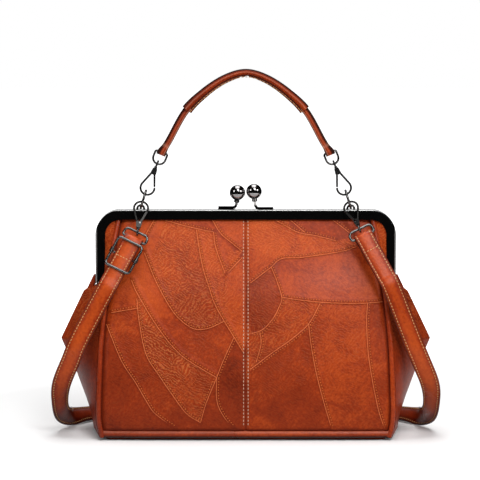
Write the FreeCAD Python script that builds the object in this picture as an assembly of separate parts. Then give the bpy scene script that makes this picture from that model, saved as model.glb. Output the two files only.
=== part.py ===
import FreeCAD, Part
import math
import os

from FreeCAD import Placement, Rotation, Vector

os.makedirs("parts", exist_ok=True)

# A handbag on a metal kiss lock frame, in millimetres.
# The origin is the middle of the base on the floor, the front faces -Y, and +Z is up.

# Metal frame: two folded channels, hinged at the ends of their legs.
frame_width = 262.0
frame_top = 195.0
frame_corner = 22.0
rail_face = 8.5
half_depth = 7.3
mouth_gap = 0.6
channel_wall = 0.8
frame_edge_round = 0.7

# Hinge at the two leg ends.
hinge_height = 126.0
leg_clearance = 1.0
lug_radius = 4.5
lug_thickness = 1.2
lug_length = 14.0
lug_gap = 0.4
rivet_radius = 1.6
rivet_head_radius = 2.9
rivet_head = 1.0
rivet_fit = 0.05

# Leather body.
bag_width = 250.0
base_depth = 110.0
wing_overhang = 35.0
leather = 1.8
base_thickness = 2.4
board_thickness = 2.2
piping_radius = 1.9
base_piping_radius = 2.2
lining = 0.8
lining_gap = 0.5
seam_gap = 0.3
tuck = 4.5
panel_corner_drop = 1.2
lower_edge = 95.0
upper_edge = 140.0
gusset_edge = 123.0
ear_height = 138.0
ear_clearance = 1.4

# Kiss lock.
ball_radius = 6.8
ball_gap = 0.8
ball_rise = 15.0
ball_step = 0.9
ball_offset = 0.5
arm_width = 4.6
arm_thickness = 2.4
arm_reach = 24.0
arm_strip = 12.5
arm_tip_width = 2.6
neck_radius = 1.5
neck_depth = 3.0
collar_radius = 2.4
collar_height = 1.4
collar_root = 0.6
pin_fit = 0.02

# Staples and link rings on the front frame half.
staple_place = 91.5
staple_span = 5.9
staple_wire = 1.0
staple_foot = 1.6
ring_radius = 8.0
ring_wire = 1.05
ring_lean = 17.0
wire_clearance = 0.4
hook_clearance = 1.4

# Snap hooks, the same for the handle and the shoulder strap.
hook_bow = 6.1
hook_wire = 0.95
hook_reach = 28.6
head_top = 24.7
hook_nose = 14.0
spine_offset = 1.5
head_length = 6.0
head_width = 5.2
head_depth = 3.2
gate_pivot = 20.3
gate_offset = 0.9
gate_eye = 1.5
gate_depth = 1.2
gate_width = 1.7
gate_gap = 0.35
gate_play = 0.2
pivot_radius = 0.7
pivot_fit = 0.05
eye_radius = 2.5
eye_wire = 0.9
post_radius = 0.9
post_length = 2.8
post_fit = 0.1
swivel_collar = 1.7
swivel_gap = 0.3

# Handle.
handle_hook_lean = 22.0
handle_ring_width = 11.0
handle_ring_height = 11.0
handle_ring_round = 1.6
handle_ring_wire = 0.95
handle_ring_lean = 22.0
handle_rise = 119.0
handle_width = 5.6
handle_thickness = 5.2
handle_loop_width = 8.0
handle_loop_wall = 1.6
loop_fit = 0.15
grip_height = 8.8
grip_depth = 11.0
grip_fit = 0.3
handle_steps = 3

# Shoulder strap, its loops and its slider.
strap_width = 16.5
strap_thickness = 1.8
strap_hook_angle = 52.0
strap_loop_inside = 19.5
strap_loop_height = 7.2
strap_loop_round = 3.6
strap_bar_round = 2.0
strap_loop_wire = 1.1
slider_length = 29.0
slider_wire = 1.1
slider_round = 3.0
slider_side_gap = 2.2
slider_gap = 0.35
slider_bar_radius = 0.9
slider_cap = 1.9
slider_cap_length = 4.0
slider_link = 1.4
slider_place = 17.5
tail_thickness = 1.5
strap_floor = 7.6
run_length = 64.0
strap_steps = 3
sewn_length = 24.0
sewn_start = 9.0


# Sizes that follow from the ones above.
side = frame_width / 2
front_face = mouth_gap / 2 + half_depth
middle = mouth_gap / 2 + half_depth / 2
leg_end = hinge_height + lug_radius + leg_clearance
corner_x = side - frame_corner
corner_z = frame_top - frame_corner
rail_under = frame_top - rail_face
wing_reach = bag_width / 2 + wing_overhang
pocket_half = half_depth / 2 - channel_wall

# Body profile: height, half width, half depth. The last two rows lie in the frame's pocket.
profile = [
    (0.0, bag_width / 2 - 4.0, base_depth / 2 - 2.5),
    (19.0, bag_width / 2, base_depth / 2),
    (50.0, bag_width / 2 - 0.5, base_depth / 2 - 2.0),
    (83.0, bag_width / 2 - 1.6, base_depth / 2 - 9.0),
    (hinge_height - 9.0, side - 10.2, base_depth * 0.33),
    (frame_top - 55.0, side - 13.0, front_face + 19.4),
    (frame_top - 30.0, side - 16.2, front_face + 8.9),
    (rail_under - 1.0, side - 20.0, middle + leather),
    (frame_top, side - 21.0, middle + leather / 2),
]

# Outline of the folded gusset seen from the front: height, reach of the crease.
crease = [
    (0.0, bag_width / 2 + 6.5),
    (19.0, bag_width / 2 + 9.5),
    (52.0, wing_reach - 13.5),
    (75.0, wing_reach - 3.0),
    (82.0, wing_reach),
    (ear_height, side + ear_clearance + 0.8),
]


def between(table, column, height):
    """Value of one column of a table at a height, on straight lines between its rows."""
    for low, high in zip(table, table[1:]):
        if height <= high[0]:
            share = (height - low[0]) / (high[0] - low[0])
            return low[column] + share * (high[column] - low[column])
    return table[-1][column]


def body_width(height):
    return between(profile, 1, height)


def body_depth(height):
    return between(profile, 2, height)


def wing(height):
    return between(crease, 1, height)


def levels(low, high):
    """Heights of the body's stations from low to high."""
    inner = [row[0] for row in profile if low + 2 < row[0] < high - 2]
    return [low] + inner + [high]


def outline(points):
    return Part.makePolygon(points + [points[0]])


def loft(sections):
    return Part.makeLoft([outline(points) for points in sections], True, True)


def ruled_solid(sections):
    """Solid through twisting sections, with straight lines from corner to corner."""
    faces = [Part.Face(outline(sections[0])), Part.Face(outline(sections[-1]))]
    for low, high in zip(sections, sections[1:]):
        for corner in range(len(low)):
            low_edge = Part.makeLine(low[corner - 1], low[corner])
            high_edge = Part.makeLine(high[corner - 1], high[corner])
            faces.append(Part.makeRuledSurface(low_edge, high_edge))
    shell = Part.makeShell(faces)
    shell.sewShape()
    return Part.makeSolid(shell)


def placed(shape, origin, along, facing):
    """The shape moved so that its own Z lies along one direction and its own Y faces another."""
    turned = shape.copy()
    turned.Placement = Placement(origin, Rotation(Vector(), facing, along, "ZYX")) * shape.Placement
    return turned


def leaning(degrees, sign):
    """Unit direction in the XZ plane, leaning from upright towards the middle of the bag."""
    angle = math.radians(degrees)
    return Vector(-sign * math.sin(angle), 0, math.cos(angle))


def disc_hull(first, first_radius, second, second_radius, thickness):
    """Plate round two circles in the XZ plane, centred on y = 0."""
    reach = second - first
    turn = math.acos((first_radius - second_radius) / reach.Length)
    heading = math.atan2(reach.z, reach.x)
    corners = []
    for angle in (heading + turn, heading - turn):
        outward = Vector(math.cos(angle), 0, math.sin(angle))
        corners.append((first + outward * first_radius, second + outward * second_radius))
    back = first - reach.normalize() * first_radius
    front = second + (second - first).normalize() * second_radius
    edges = [
        Part.LineSegment(corners[0][0], corners[0][1]).toShape(),
        Part.Arc(corners[0][1], front, corners[1][1]).toShape(),
        Part.LineSegment(corners[1][1], corners[1][0]).toShape(),
        Part.Arc(corners[1][0], back, corners[0][0]).toShape(),
    ]
    face = Part.Face(Part.Wire(edges))
    face.translate(Vector(0, -thickness / 2, 0))
    return face.extrude(Vector(0, thickness, 0))


def round_wire(edges, radius):
    """Wire of round section along a chain of edges in the XZ plane."""
    path = Part.Wire(edges)
    start = edges[0].firstVertex().Point
    heading = edges[0].tangentAt(edges[0].FirstParameter)
    section = Part.Wire(Part.makeCircle(radius, start, heading))
    return path.makePipeShell([section], True, True)


def loop_edges(width, height, low_round, high_round):
    """Closed rounded loop in the XZ plane, with its lower side on z = 0."""
    half = width / 2
    low = low_round * (1 - math.sqrt(0.5))
    high = high_round * (1 - math.sqrt(0.5))
    line = Part.LineSegment
    top_left = (-half + high_round, height)
    top_right = (half - high_round, height)
    points = [
        Vector(half - low_round, 0, 0),
        Vector(half - low, 0, low),
        Vector(half, 0, low_round),
        Vector(half, 0, height - high_round),
        Vector(half - high, 0, height - high),
        Vector(top_right[0], 0, top_right[1]),
        Vector(top_left[0], 0, top_left[1]),
        Vector(-half + high, 0, height - high),
        Vector(-half, 0, height - high_round),
        Vector(-half, 0, low_round),
        Vector(-half + low, 0, low),
        Vector(-half + low_round, 0, 0),
    ]
    edges = [line(points[11], points[0]).toShape()]
    edges.append(Part.Arc(points[0], points[1], points[2]).toShape())
    if (points[3] - points[2]).Length > 0.01:
        edges.append(line(points[2], points[3]).toShape())
    edges.append(Part.Arc(points[3], points[4], points[5]).toShape())
    if (points[6] - points[5]).Length > 0.01:
        edges.append(line(points[5], points[6]).toShape())
    edges.append(Part.Arc(points[6], points[7], points[8]).toShape())
    if (points[9] - points[8]).Length > 0.01:
        edges.append(line(points[8], points[9]).toShape())
    edges.append(Part.Arc(points[9], points[10], points[11]).toShape())
    return edges


def mirrored(shape):
    return shape.mirror(Vector(), Vector(0, 1, 0))


# Frame halves.


def arch_face(inset, low):
    """Face under an arch that follows the frame's outer edge at an inset, down to a height."""
    radius = frame_corner - inset
    reach = side - inset
    top = frame_top - inset
    slant = radius * math.sqrt(0.5)
    left = Part.Arc(
        Vector(-reach, 0, corner_z),
        Vector(-corner_x - slant, 0, corner_z + slant),
        Vector(-corner_x, 0, top),
    )
    right = Part.Arc(
        Vector(corner_x, 0, top),
        Vector(corner_x + slant, 0, corner_z + slant),
        Vector(reach, 0, corner_z),
    )
    edges = [
        Part.LineSegment(Vector(-reach, 0, low), Vector(-reach, 0, corner_z)).toShape(),
        left.toShape(),
        Part.LineSegment(Vector(-corner_x, 0, top), Vector(corner_x, 0, top)).toShape(),
        right.toShape(),
        Part.LineSegment(Vector(reach, 0, corner_z), Vector(reach, 0, low)).toShape(),
        Part.LineSegment(Vector(reach, 0, low), Vector(-reach, 0, low)).toShape(),
    ]
    return Part.Face(Part.Wire(edges))


def channel():
    """Front half of the frame: a channel that opens inwards."""
    outer = arch_face(0, leg_end)
    outer.translate(Vector(0, -front_face, 0))
    body = outer.extrude(Vector(0, half_depth, 0))
    rim = []
    for edge in body.Edges:
        box = edge.BoundBox
        flat = box.YLength < 0.01
        above = box.ZMax > leg_end + 0.1
        if flat and above and abs(box.YMin + front_face) < 0.01:
            rim.append(edge)
    body = body.makeFillet(frame_edge_round, rim)
    opening = arch_face(rail_face, leg_end - 1)
    opening.translate(Vector(0, -front_face - 1, 0))
    body = body.cut(opening.extrude(Vector(0, half_depth + 2, 0)))
    pocket = arch_face(channel_wall, leg_end - 1)
    pocket.translate(Vector(0, -front_face + channel_wall, 0))
    return body.cut(pocket.extrude(Vector(0, 2 * pocket_half, 0)))


def lug(sign, place):
    """Hinge plate of the front half: x from place inwards, round the hinge axis and up into the leg."""
    inward = Vector(-sign, 0, 0)
    round_end = Part.makeCylinder(lug_radius, lug_thickness, Vector(place, 0, hinge_height), inward)
    back = -mouth_gap / 2
    points = [
        Vector(place, -front_face + channel_wall / 2, leg_end + lug_length),
        Vector(place, back - channel_wall / 2, leg_end + lug_length),
        Vector(place, back - channel_wall / 2, leg_end),
        Vector(place, lug_radius * 0.6, hinge_height + lug_radius * 0.8),
        Vector(place, -lug_radius, hinge_height),
        Vector(place, -front_face + channel_wall / 2, leg_end),
    ]
    plate = Part.Face(outline(points)).extrude(inward * lug_thickness)
    bore_start = Vector(place + sign, 0, hinge_height)
    bore = Part.makeCylinder(rivet_radius + rivet_fit, lug_thickness + 2, bore_start, inward)
    return plate.fuse(round_end).cut(bore)


def lug_place(sign, layer):
    return sign * (side - channel_wall - layer * (lug_thickness + lug_gap))


def frame_front():
    body = channel()
    for sign in (-1, 1):
        body = body.fuse(lug(sign, lug_place(sign, 0)))
        for foot in staple_feet(sign):
            bore = Part.makeCylinder(staple_wire + pin_fit, 4, foot - Vector(0, 0, 2))
            body = body.cut(bore)
    return body.removeSplitter()


def frame_rear():
    body = mirrored(channel())
    for sign in (-1, 1):
        body = body.fuse(mirrored(lug(sign, lug_place(sign, 1))))
    return body.removeSplitter()


def hinge_rivet(sign):
    inner_end = lug_place(sign, 1) - sign * (lug_thickness + rivet_fit)
    outer_end = lug_place(sign, 0) + sign * rivet_fit
    direction = Vector(sign, 0, 0)
    length = abs(outer_end - inner_end)
    shank = Part.makeCylinder(rivet_radius, length, Vector(inner_end, 0, hinge_height), direction)
    inner = Part.makeCylinder(
        rivet_head_radius, rivet_head, Vector(inner_end - sign * rivet_head, 0, hinge_height), direction
    )
    outer = Part.makeCone(
        rivet_head_radius, rivet_head_radius * 0.7, rivet_head, Vector(outer_end, 0, hinge_height), direction
    )
    return shank.fuse([inner, outer]).removeSplitter()


# Kiss lock.


def ball_centre(sign):
    """The left ball stands on the rear half, a little lower, and the right ball on the front half."""
    height = frame_top + ball_rise + sign * ball_step / 2
    return Vector(sign * (ball_radius + ball_gap / 2), sign * ball_offset, height)


def neck_foot(sign):
    return Vector(sign * (arm_reach - arm_strip), -sign * middle, frame_top + arm_thickness / 2)


def neck_axis(sign):
    lean = ball_centre(sign) - neck_foot(sign)
    lean.x = lean.x * 0.25
    return lean.normalize()


def clasp_arm(sign):
    """Flat strip along the rail, bent up into a neck that ends in a collar and a pin."""
    centre = ball_centre(sign)
    axis = neck_axis(sign)
    base = centre - axis * (ball_radius + collar_height)
    foot = neck_foot(sign)
    corner = Vector(min(foot.x, foot.x + sign * arm_strip), foot.y - arm_width / 2, frame_top)
    strip = Part.makeBox(arm_strip, arm_width, arm_thickness, corner)
    upright = [edge for edge in strip.Edges if edge.BoundBox.ZLength > arm_thickness - 0.01]
    outer = [edge for edge in upright if abs(edge.BoundBox.XMin) > arm_reach - 0.01]
    strip = strip.makeFillet(arm_width / 2 - 0.1, outer)
    stations = [
        (0.0, 0.0, arm_width),
        (0.42, 0.06, arm_width * 0.97),
        (0.72, 0.22, arm_width * 0.92),
        (0.90, 0.5, arm_width * 0.8),
        (1.0, 1.0, arm_tip_width),
    ]
    sections = []
    for across, up, width in stations:
        spot = Vector(
            foot.x + across * (base.x - foot.x),
            foot.y + up * (base.y - foot.y),
            foot.z + up * (base.z - foot.z),
        )
        slope = math.radians(90 * math.sin(math.radians(90 * across)) ** 2)
        thick = Vector(sign * math.sin(slope), 0, math.cos(slope)) * (arm_thickness / 2)
        wide = Vector(0, width / 2, 0)
        sections.append([spot + wide + thick, spot - wide + thick, spot - wide - thick, spot + wide - thick])
    neck = loft(sections)
    collar = Part.makeCylinder(collar_radius, collar_height + collar_root, base - axis * collar_root, axis)
    pin = Part.makeCylinder(neck_radius, collar_height + neck_depth, base, axis)
    seat = Part.makeSphere(ball_radius + pin_fit, centre)
    collar = collar.cut(seat)
    return strip.fuse([neck, collar, pin]).removeSplitter()


def clasp_ball(sign):
    centre = ball_centre(sign)
    axis = neck_axis(sign)
    base = centre - axis * (ball_radius + collar_height)
    hole = Part.makeCylinder(neck_radius + pin_fit, collar_height + neck_depth + pin_fit, base, axis)
    return Part.makeSphere(ball_radius, centre).cut(hole)


# Staples, rings and snap hooks.


def staple_feet(sign):
    reach = staple_span / 2
    return [Vector(sign * staple_place + x, -middle, frame_top) for x in (-reach, reach)]


def staple(sign):
    feet = staple_feet(sign)
    drop = Vector(0, 0, channel_wall + staple_foot)
    shoulder = Vector(0, 0, ring_wire * 2 + 2 * wire_clearance + staple_wire - staple_span / 2)
    left = feet[0] + shoulder
    right = feet[1] + shoulder
    crown = (left + right) * 0.5 + Vector(0, 0, staple_span / 2)
    edges = [
        Part.LineSegment(feet[0] - drop, left).toShape(),
        Part.Arc(left, crown, right).toShape(),
        Part.LineSegment(right, feet[1] - drop).toShape(),
    ]
    return round_wire(edges, staple_wire)


def ring_low(sign):
    return Vector(sign * staple_place, -middle, frame_top + ring_wire + wire_clearance)


def ring_centre(sign):
    return ring_low(sign) + leaning(ring_lean, sign) * ring_radius


def link_ring(sign):
    up = leaning(ring_lean, sign)
    axis = up.cross(Vector(0, 1, 0))
    return Part.makeTorus(ring_radius, ring_wire, ring_centre(sign), axis)


def nose_place(gate_side):
    """End of the hook's bow, where the gate closes on it."""
    angle = math.radians(hook_nose)
    return Vector(gate_side * math.cos(angle), 0, math.sin(angle)) * hook_bow + Vector(0, 0, hook_bow)


def hook_body(gate_side):
    """Snap hook in its own frame: the bow's lowest wire centre at the origin, the head along +Z."""
    centre = Vector(0, 0, hook_bow)
    spine = Vector(-gate_side * spine_offset, 0, head_top - head_length + hook_wire)
    reach = spine - centre
    tangent = math.atan2(reach.z, abs(reach.x))
    touch_angle = tangent - math.acos(hook_bow / reach.Length)
    touch = centre + Vector(-gate_side * math.cos(touch_angle), 0, math.sin(touch_angle)) * hook_bow
    nose = nose_place(gate_side)
    edges = [
        Part.LineSegment(spine, touch).toShape(),
        Part.Arc(touch, Vector(), nose).toShape(),
    ]
    wire = round_wire(edges, hook_wire)
    nose_ball = Part.makeSphere(hook_wire, nose)
    half = head_width / 2
    low = head_top - head_length
    head_points = [
        Vector(-half, 0, low + 1.0),
        Vector(-half + 1.0, 0, low),
        Vector(half - 1.0, 0, low),
        Vector(half, 0, low + 1.0),
        Vector(half - 0.6, 0, head_top - 0.7),
        Vector(half - 1.3, 0, head_top),
        Vector(-half + 1.3, 0, head_top),
        Vector(-half + 0.6, 0, head_top - 0.7),
    ]
    face = Part.Face(outline(head_points))
    face.translate(Vector(0, -head_depth / 2, 0))
    head = face.extrude(Vector(0, head_depth, 0))
    slot_depth = gate_depth + 2 * gate_play
    slot_low = low - 1
    slot_high = gate_pivot + gate_eye + gate_play
    inner = gate_offset - gate_eye - gate_play
    slot_corner = Vector(inner, -slot_depth / 2, slot_low)
    slot = Part.makeBox(half - inner + 1, slot_depth, slot_high - slot_low, slot_corner)
    if gate_side < 0:
        slot = slot.mirror(Vector(), Vector(1, 0, 0))
    pivot = Vector(gate_side * gate_offset, -head_depth, gate_pivot)
    bore = Part.makeCylinder(pivot_radius + pivot_fit, 2 * head_depth, pivot, Vector(0, 1, 0))
    socket_foot = Vector(0, 0, head_top - post_length + 0.5)
    socket = Part.makeCylinder(post_radius + post_fit, post_length, socket_foot)
    solid = head.fuse([wire, nose_ball]).cut(slot).cut(bore).cut(socket)
    return solid.removeSplitter()


def gate_tip(gate_side):
    nose = nose_place(gate_side)
    pivot = Vector(gate_side * gate_offset, 0, gate_pivot)
    upward = (pivot - nose).normalize()
    return nose + upward * (hook_wire + gate_gap + gate_width / 2)


def hook_gate(gate_side):
    pivot = Vector(gate_side * gate_offset, 0, gate_pivot)
    arm = disc_hull(pivot, gate_width / 2 + 0.05, gate_tip(gate_side), gate_width / 2, gate_depth)
    eye = Part.makeCylinder(gate_eye, gate_depth, pivot - Vector(0, gate_depth / 2, 0), Vector(0, 1, 0))
    bore = Part.makeCylinder(
        pivot_radius + pivot_fit, gate_depth + 2, pivot - Vector(0, gate_depth / 2 + 1, 0), Vector(0, 1, 0)
    )
    return arm.fuse(eye).cut(bore).removeSplitter()


def gate_rivet(gate_side):
    pivot = Vector(gate_side * gate_offset, 0, gate_pivot)
    across = Vector(0, 1, 0)
    length = head_depth + 2 * pivot_fit
    shank = Part.makeCylinder(pivot_radius, length, pivot - across * (length / 2), across)
    heads = []
    for end in (-1, 1):
        seat = pivot + across * (end * length / 2)
        heads.append(Part.makeCone(pivot_radius + 0.5, pivot_radius + 0.2, 0.4, seat, across * end))
    return shank.fuse(heads).removeSplitter()


def swivel_eye():
    """Eye above the hook's head on a short post, with its ring in the YZ plane."""
    eye = Part.makeTorus(eye_radius, eye_wire, Vector(0, 0, hook_reach), Vector(1, 0, 0))
    low = head_top + swivel_gap
    neck = hook_reach - eye_radius - low
    collar = Part.makeCone(swivel_collar, eye_wire + 0.2, neck, Vector(0, 0, low))
    post = Part.makeCylinder(
        post_radius, post_length - 0.6 + swivel_gap + 0.2, Vector(0, 0, head_top - post_length + 0.6)
    )
    return eye.fuse([collar, post]).removeSplitter()


def handle_hook_place(sign):
    """Origin and direction of a handle hook, hung inside the top of its ring."""
    up = leaning(ring_lean, sign)
    top = ring_centre(sign) + up * ring_radius
    return top - up * (ring_wire + hook_wire + hook_clearance), leaning(handle_hook_lean, sign)


def strap_hook_place(sign):
    """Origin and direction of a strap hook, hung on the lower front of its ring."""
    up = leaning(ring_lean, sign)
    angle = math.radians(strap_hook_angle)
    forward = Vector(0, -ring_radius * math.sin(angle), 0)
    spot = ring_centre(sign) - up * (ring_radius * math.cos(angle)) + forward
    along = strap_hook_way(sign)
    return spot - along * (ring_wire + hook_wire + hook_clearance), along


def strap_hook_way(sign):
    """Direction of a strap hook, down and forwards: the right one follows its strap further out."""
    if sign < 0:
        return Vector(-0.12, -0.45, -0.88).normalize()
    return Vector(0.30, -0.57, -0.76).normalize()


# Handle.


def handle_eye(sign):
    origin, along = handle_hook_place(sign)
    return origin + along * hook_reach


def handle_end(sign):
    """Middle of the D-ring's straight bar."""
    return handle_eye(sign) + leaning(handle_ring_lean, sign) * handle_ring_height


def handle_ring(sign):
    bow = handle_ring_width / 2 - 0.05
    edges = loop_edges(handle_ring_width, handle_ring_height, bow, handle_ring_round)
    wire = round_wire(edges, handle_ring_wire)
    return placed(wire, handle_eye(sign), leaning(handle_ring_lean, sign), Vector(0, 1, 0))


def smooth(points, steps):
    """Points on a smooth curve through the given ones, with as many steps between each two."""
    curve = Part.BSplineCurve()
    curve.interpolate(points)
    marks = [curve.parameter(point) for point in points]
    line = []
    for start, end in zip(marks, marks[1:]):
        line += [curve.value(start + (end - start) * step / steps) for step in range(steps)]
    return line + [points[-1]]


def handle_route():
    """Stations of the handle's middle line from the left end over the top to the right end."""
    end = handle_end(1)
    rise = frame_top + handle_rise - end.z
    shares = [(1.0, 0.0), (0.912, 0.15), (0.7215, 0.508), (0.505, 0.74), (0.252, 0.923), (0.0, 1.0)]
    right = [Vector(end.x * across, end.y, end.z + rise * up) for across, up in shares]
    left = [Vector(-spot.x, spot.y, spot.z) for spot in right]
    return smooth(left + right[-2::-1], handle_steps)


def handle_loft(spots, width, thickness):
    """Eight-sided sections square to the route; the width lies in the XZ plane."""
    shape = [(1, 0.45), (0.5, 1), (-0.5, 1), (-1, 0.45), (-1, -0.45), (-0.5, -1), (0.5, -1), (1, -0.45)]
    sections = []
    for index, spot in enumerate(spots):
        before = spots[max(index - 1, 0)]
        after = spots[min(index + 1, len(spots) - 1)]
        heading = (after - before).normalize()
        outward = Vector(-heading.z, 0, heading.x) * (width / 2)
        deep = Vector(0, thickness / 2, 0)
        sections.append([spot + outward * across + deep * back for across, back in shape])
    return loft(sections)


def handle_strap():
    solid = handle_loft(handle_route(), handle_width, handle_thickness)
    inner = handle_ring_wire + loop_fit
    for sign in (-1, 1):
        bar = leaning(handle_ring_lean, sign).cross(Vector(0, 1, 0))
        start = handle_end(sign) - bar * (handle_loop_width / 2)
        eyelet = Part.makeCylinder(inner + handle_loop_wall, handle_loop_width, start, bar)
        bore = Part.makeCylinder(inner, handle_loop_width + 4, start - bar * 2, bar)
        solid = solid.fuse(eyelet).cut(bore)
    return solid.removeSplitter()


def handle_grip():
    """Sleeve over the middle of the handle strap."""
    spots = handle_route()
    first = 2 * handle_steps
    outside = handle_loft(spots[first:-first], grip_height, grip_depth)
    sleeve = spots[first - 1:1 - first]
    inside = handle_loft(sleeve, handle_width + 2 * grip_fit, handle_thickness + 2 * grip_fit)
    return outside.cut(inside)


# Shoulder strap.


def strap_eye(sign):
    origin, along = strap_hook_place(sign)
    return origin + along * hook_reach


def run_way(sign):
    """Direction of the strap's straight front run, down and outwards over the bag's corner."""
    return Vector(sign * 0.46, -0.33, -0.83).normalize()


def run_across(sign):
    """Direction across the strap on that run, towards the middle of the bag."""
    way = run_way(sign)
    flat = Vector(-sign * 0.87, -0.20, -0.45)
    return (flat - way * flat.dot(way)).normalize()


def run_facing(sign):
    """Direction that the strap's outer face looks in on that run."""
    return run_across(sign).cross(run_way(sign)).normalize() * sign


def run_start(sign):
    """Middle of the loop's straight bar."""
    return strap_eye(sign) + run_way(sign) * strap_loop_height


def strap_layer():
    """Distance of the strap's front layer from the loop's bar."""
    return strap_loop_wire + loop_fit + strap_thickness / 2


def strap_loop(sign):
    width = strap_loop_inside + 2 * strap_loop_wire
    edges = loop_edges(width, strap_loop_height, strap_loop_round, strap_bar_round)
    wire = round_wire(edges, strap_loop_wire)
    return placed(wire, strap_eye(sign), run_way(sign), run_facing(sign))


def strap_route():
    """Stations round the back, from the left run's end to the right run's end: place, direction across."""
    reach = -wing_reach
    front = -base_depth / 2
    back = base_depth / 2
    left = [
        (reach + 17.0, front + 7.5, 87.0, 0.90, -0.15, -0.42),
        (reach + 9.5, front + 9.5, 69.0, 0.92, -0.05, -0.36),
        (reach + 1.0, front + 17.0, 48.0, 0.93, 0.22, -0.20),
        (reach - 1.5, front + 30.0, 32.0, 0.86, 0.41, 0.31),
        (reach - 1.0, -8.0, 19.0, 0.55, 0.46, 0.69),
        (reach + 3.5, back - 40.0, 9.5, 0.05, 0.40, 0.90),
        (reach + 13.0, back - 15.0, strap_floor, -0.50, 0.50, 0.70),
        (reach + 35.0, back + 11.0, strap_floor, -0.42, 0.62, 0.68),
        (reach + 78.0, back + 29.0, strap_floor, -0.24, 0.70, 0.68),
        (reach + 130.0, back + 36.0, strap_floor, -0.08, 0.73, 0.68),
    ]
    stations = [(Vector(*row[:3]), Vector(*row[3:])) for row in left]
    right = []
    for spot, flat in stations[::-1]:
        right.append((Vector(-spot.x, spot.y, spot.z), Vector(-flat.x, flat.y, flat.z)))
    return stations + right


def strap_section(spot, flat, way):
    across = (flat - way * flat.dot(way)).normalize()
    facing = way.cross(across).normalize()
    wide = across * (strap_width / 2)
    thick = facing * (strap_thickness / 2)
    return [spot + wide + thick, spot - wide + thick, spot - wide - thick, spot + wide - thick]


def run_spot(sign, along):
    """Middle of the strap's front layer at a distance along its front run."""
    return run_start(sign) + run_facing(sign) * strap_layer() + run_way(sign) * along


def strap_back():
    """The strap from the lower end of its left run round behind the bag to its right run."""
    route = strap_route()
    leads = [run_spot(-1, run_length / 2), run_spot(-1, run_length)]
    tails = [run_spot(1, run_length), run_spot(1, run_length / 2)]
    places = leads + [spot for spot, flat in route] + tails
    flats = [run_across(-1)] + [flat for spot, flat in route] + [run_across(1)]
    spots = smooth(places, strap_steps)[strap_steps:-strap_steps]
    rows = [(spots[0], flats[0], run_way(-1))]
    for index in range(1, len(spots) - 1):
        before, part = divmod(index, strap_steps)
        share = part / strap_steps
        flat = flats[before] * (1 - share) + flats[before + 1] * share
        rows.append((spots[index], flat, (spots[index + 1] - spots[index - 1]).normalize()))
    rows.append((spots[-1], flats[-1], run_way(1) * -1))
    return ruled_solid([strap_section(*row) for row in rows])


def on_run(sign, shape):
    """A shape made with the run along its own Z, moved onto the strap's front run."""
    return placed(shape, run_start(sign), run_way(sign), run_facing(sign))


def strap_tube(inner, thickness, place, depth):
    """Leather folded round a bar that lies along X."""
    start = Vector(-strap_width / 2, depth, place)
    tube = Part.makeCylinder(inner + thickness, strap_width, start, Vector(1, 0, 0))
    return tube.cut(Part.makeCylinder(inner, strap_width, start, Vector(1, 0, 0)))


def strap_strip(stations, thickness):
    """Flat strip along Z through stations of place and depth."""
    half = strap_width / 2
    sections = []
    for place, depth in stations:
        front = depth + thickness / 2
        back = depth - thickness / 2
        corners = [(-half, front), (half, front), (half, back), (-half, back)]
        sections.append([Vector(x, y, place) for x, y in corners])
    return loft(sections)


def shoulder_strap():
    """The strap with its ends folded round the loops; the right end is sewn down behind itself."""
    layer = strap_layer()
    inner = strap_loop_wire + loop_fit
    fold = strap_tube(inner, strap_thickness, 0, 0)
    run = strap_strip([(0, layer), (run_length, layer)], strap_thickness)
    sewn_depth = layer - strap_thickness
    back_line = [(0.4, -layer), (sewn_start, sewn_depth), (sewn_length, sewn_depth)]
    back = strap_strip(back_line, strap_thickness)
    bore = Part.makeCylinder(inner, strap_width + 2, Vector(-strap_width / 2 - 1, 0, 0), Vector(1, 0, 0))
    left = on_run(-1, fold.fuse(run).cut(bore))
    right = on_run(1, fold.fuse([run, back]).cut(bore))
    return strap_back().fuse([left, right]).removeSplitter()


def bar_depth():
    """Depth of the slider's bar behind the loop's bar line."""
    front_layer_back = strap_layer() - strap_thickness / 2
    return front_layer_back - slider_gap - tail_thickness - slider_bar_radius - loop_fit


def rail_depth():
    return strap_layer() + strap_thickness / 2 + slider_gap + slider_wire


def rail_reach():
    return strap_width / 2 + slider_side_gap + slider_wire


def slider_frame():
    height = slider_length - 2 * slider_wire
    wire = round_wire(loop_edges(2 * rail_reach(), height, slider_round, slider_round), slider_wire)
    wire.translate(Vector(0, rail_depth(), slider_place - height / 2))
    return on_run(-1, wire)


def slider_bar():
    reach = rail_reach()
    start = Vector(-reach, bar_depth(), slider_place)
    rod = Part.makeCylinder(slider_bar_radius, 2 * reach, start, Vector(1, 0, 0))
    pieces = []
    for end in (-1, 1):
        rise = rail_depth() - bar_depth() + slider_bar_radius
        link = Part.makeBox(slider_link, rise, 2 * slider_bar_radius)
        corner = Vector(-slider_link / 2, -slider_bar_radius, -slider_bar_radius)
        link.translate(Vector(end * reach, bar_depth(), slider_place) + corner)
        pieces.append(link)
        seat = Vector(end * reach, rail_depth(), slider_place - slider_cap_length / 2)
        pieces.append(Part.makeCylinder(slider_cap, slider_cap_length, seat))
    solid = rod.fuse(pieces)
    for end in (-1, 1):
        bore = Vector(end * reach, rail_depth(), slider_place - slider_cap_length)
        solid = solid.cut(Part.makeCylinder(slider_wire + pin_fit, 2 * slider_cap_length, bore))
    return on_run(-1, solid.removeSplitter())


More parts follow.
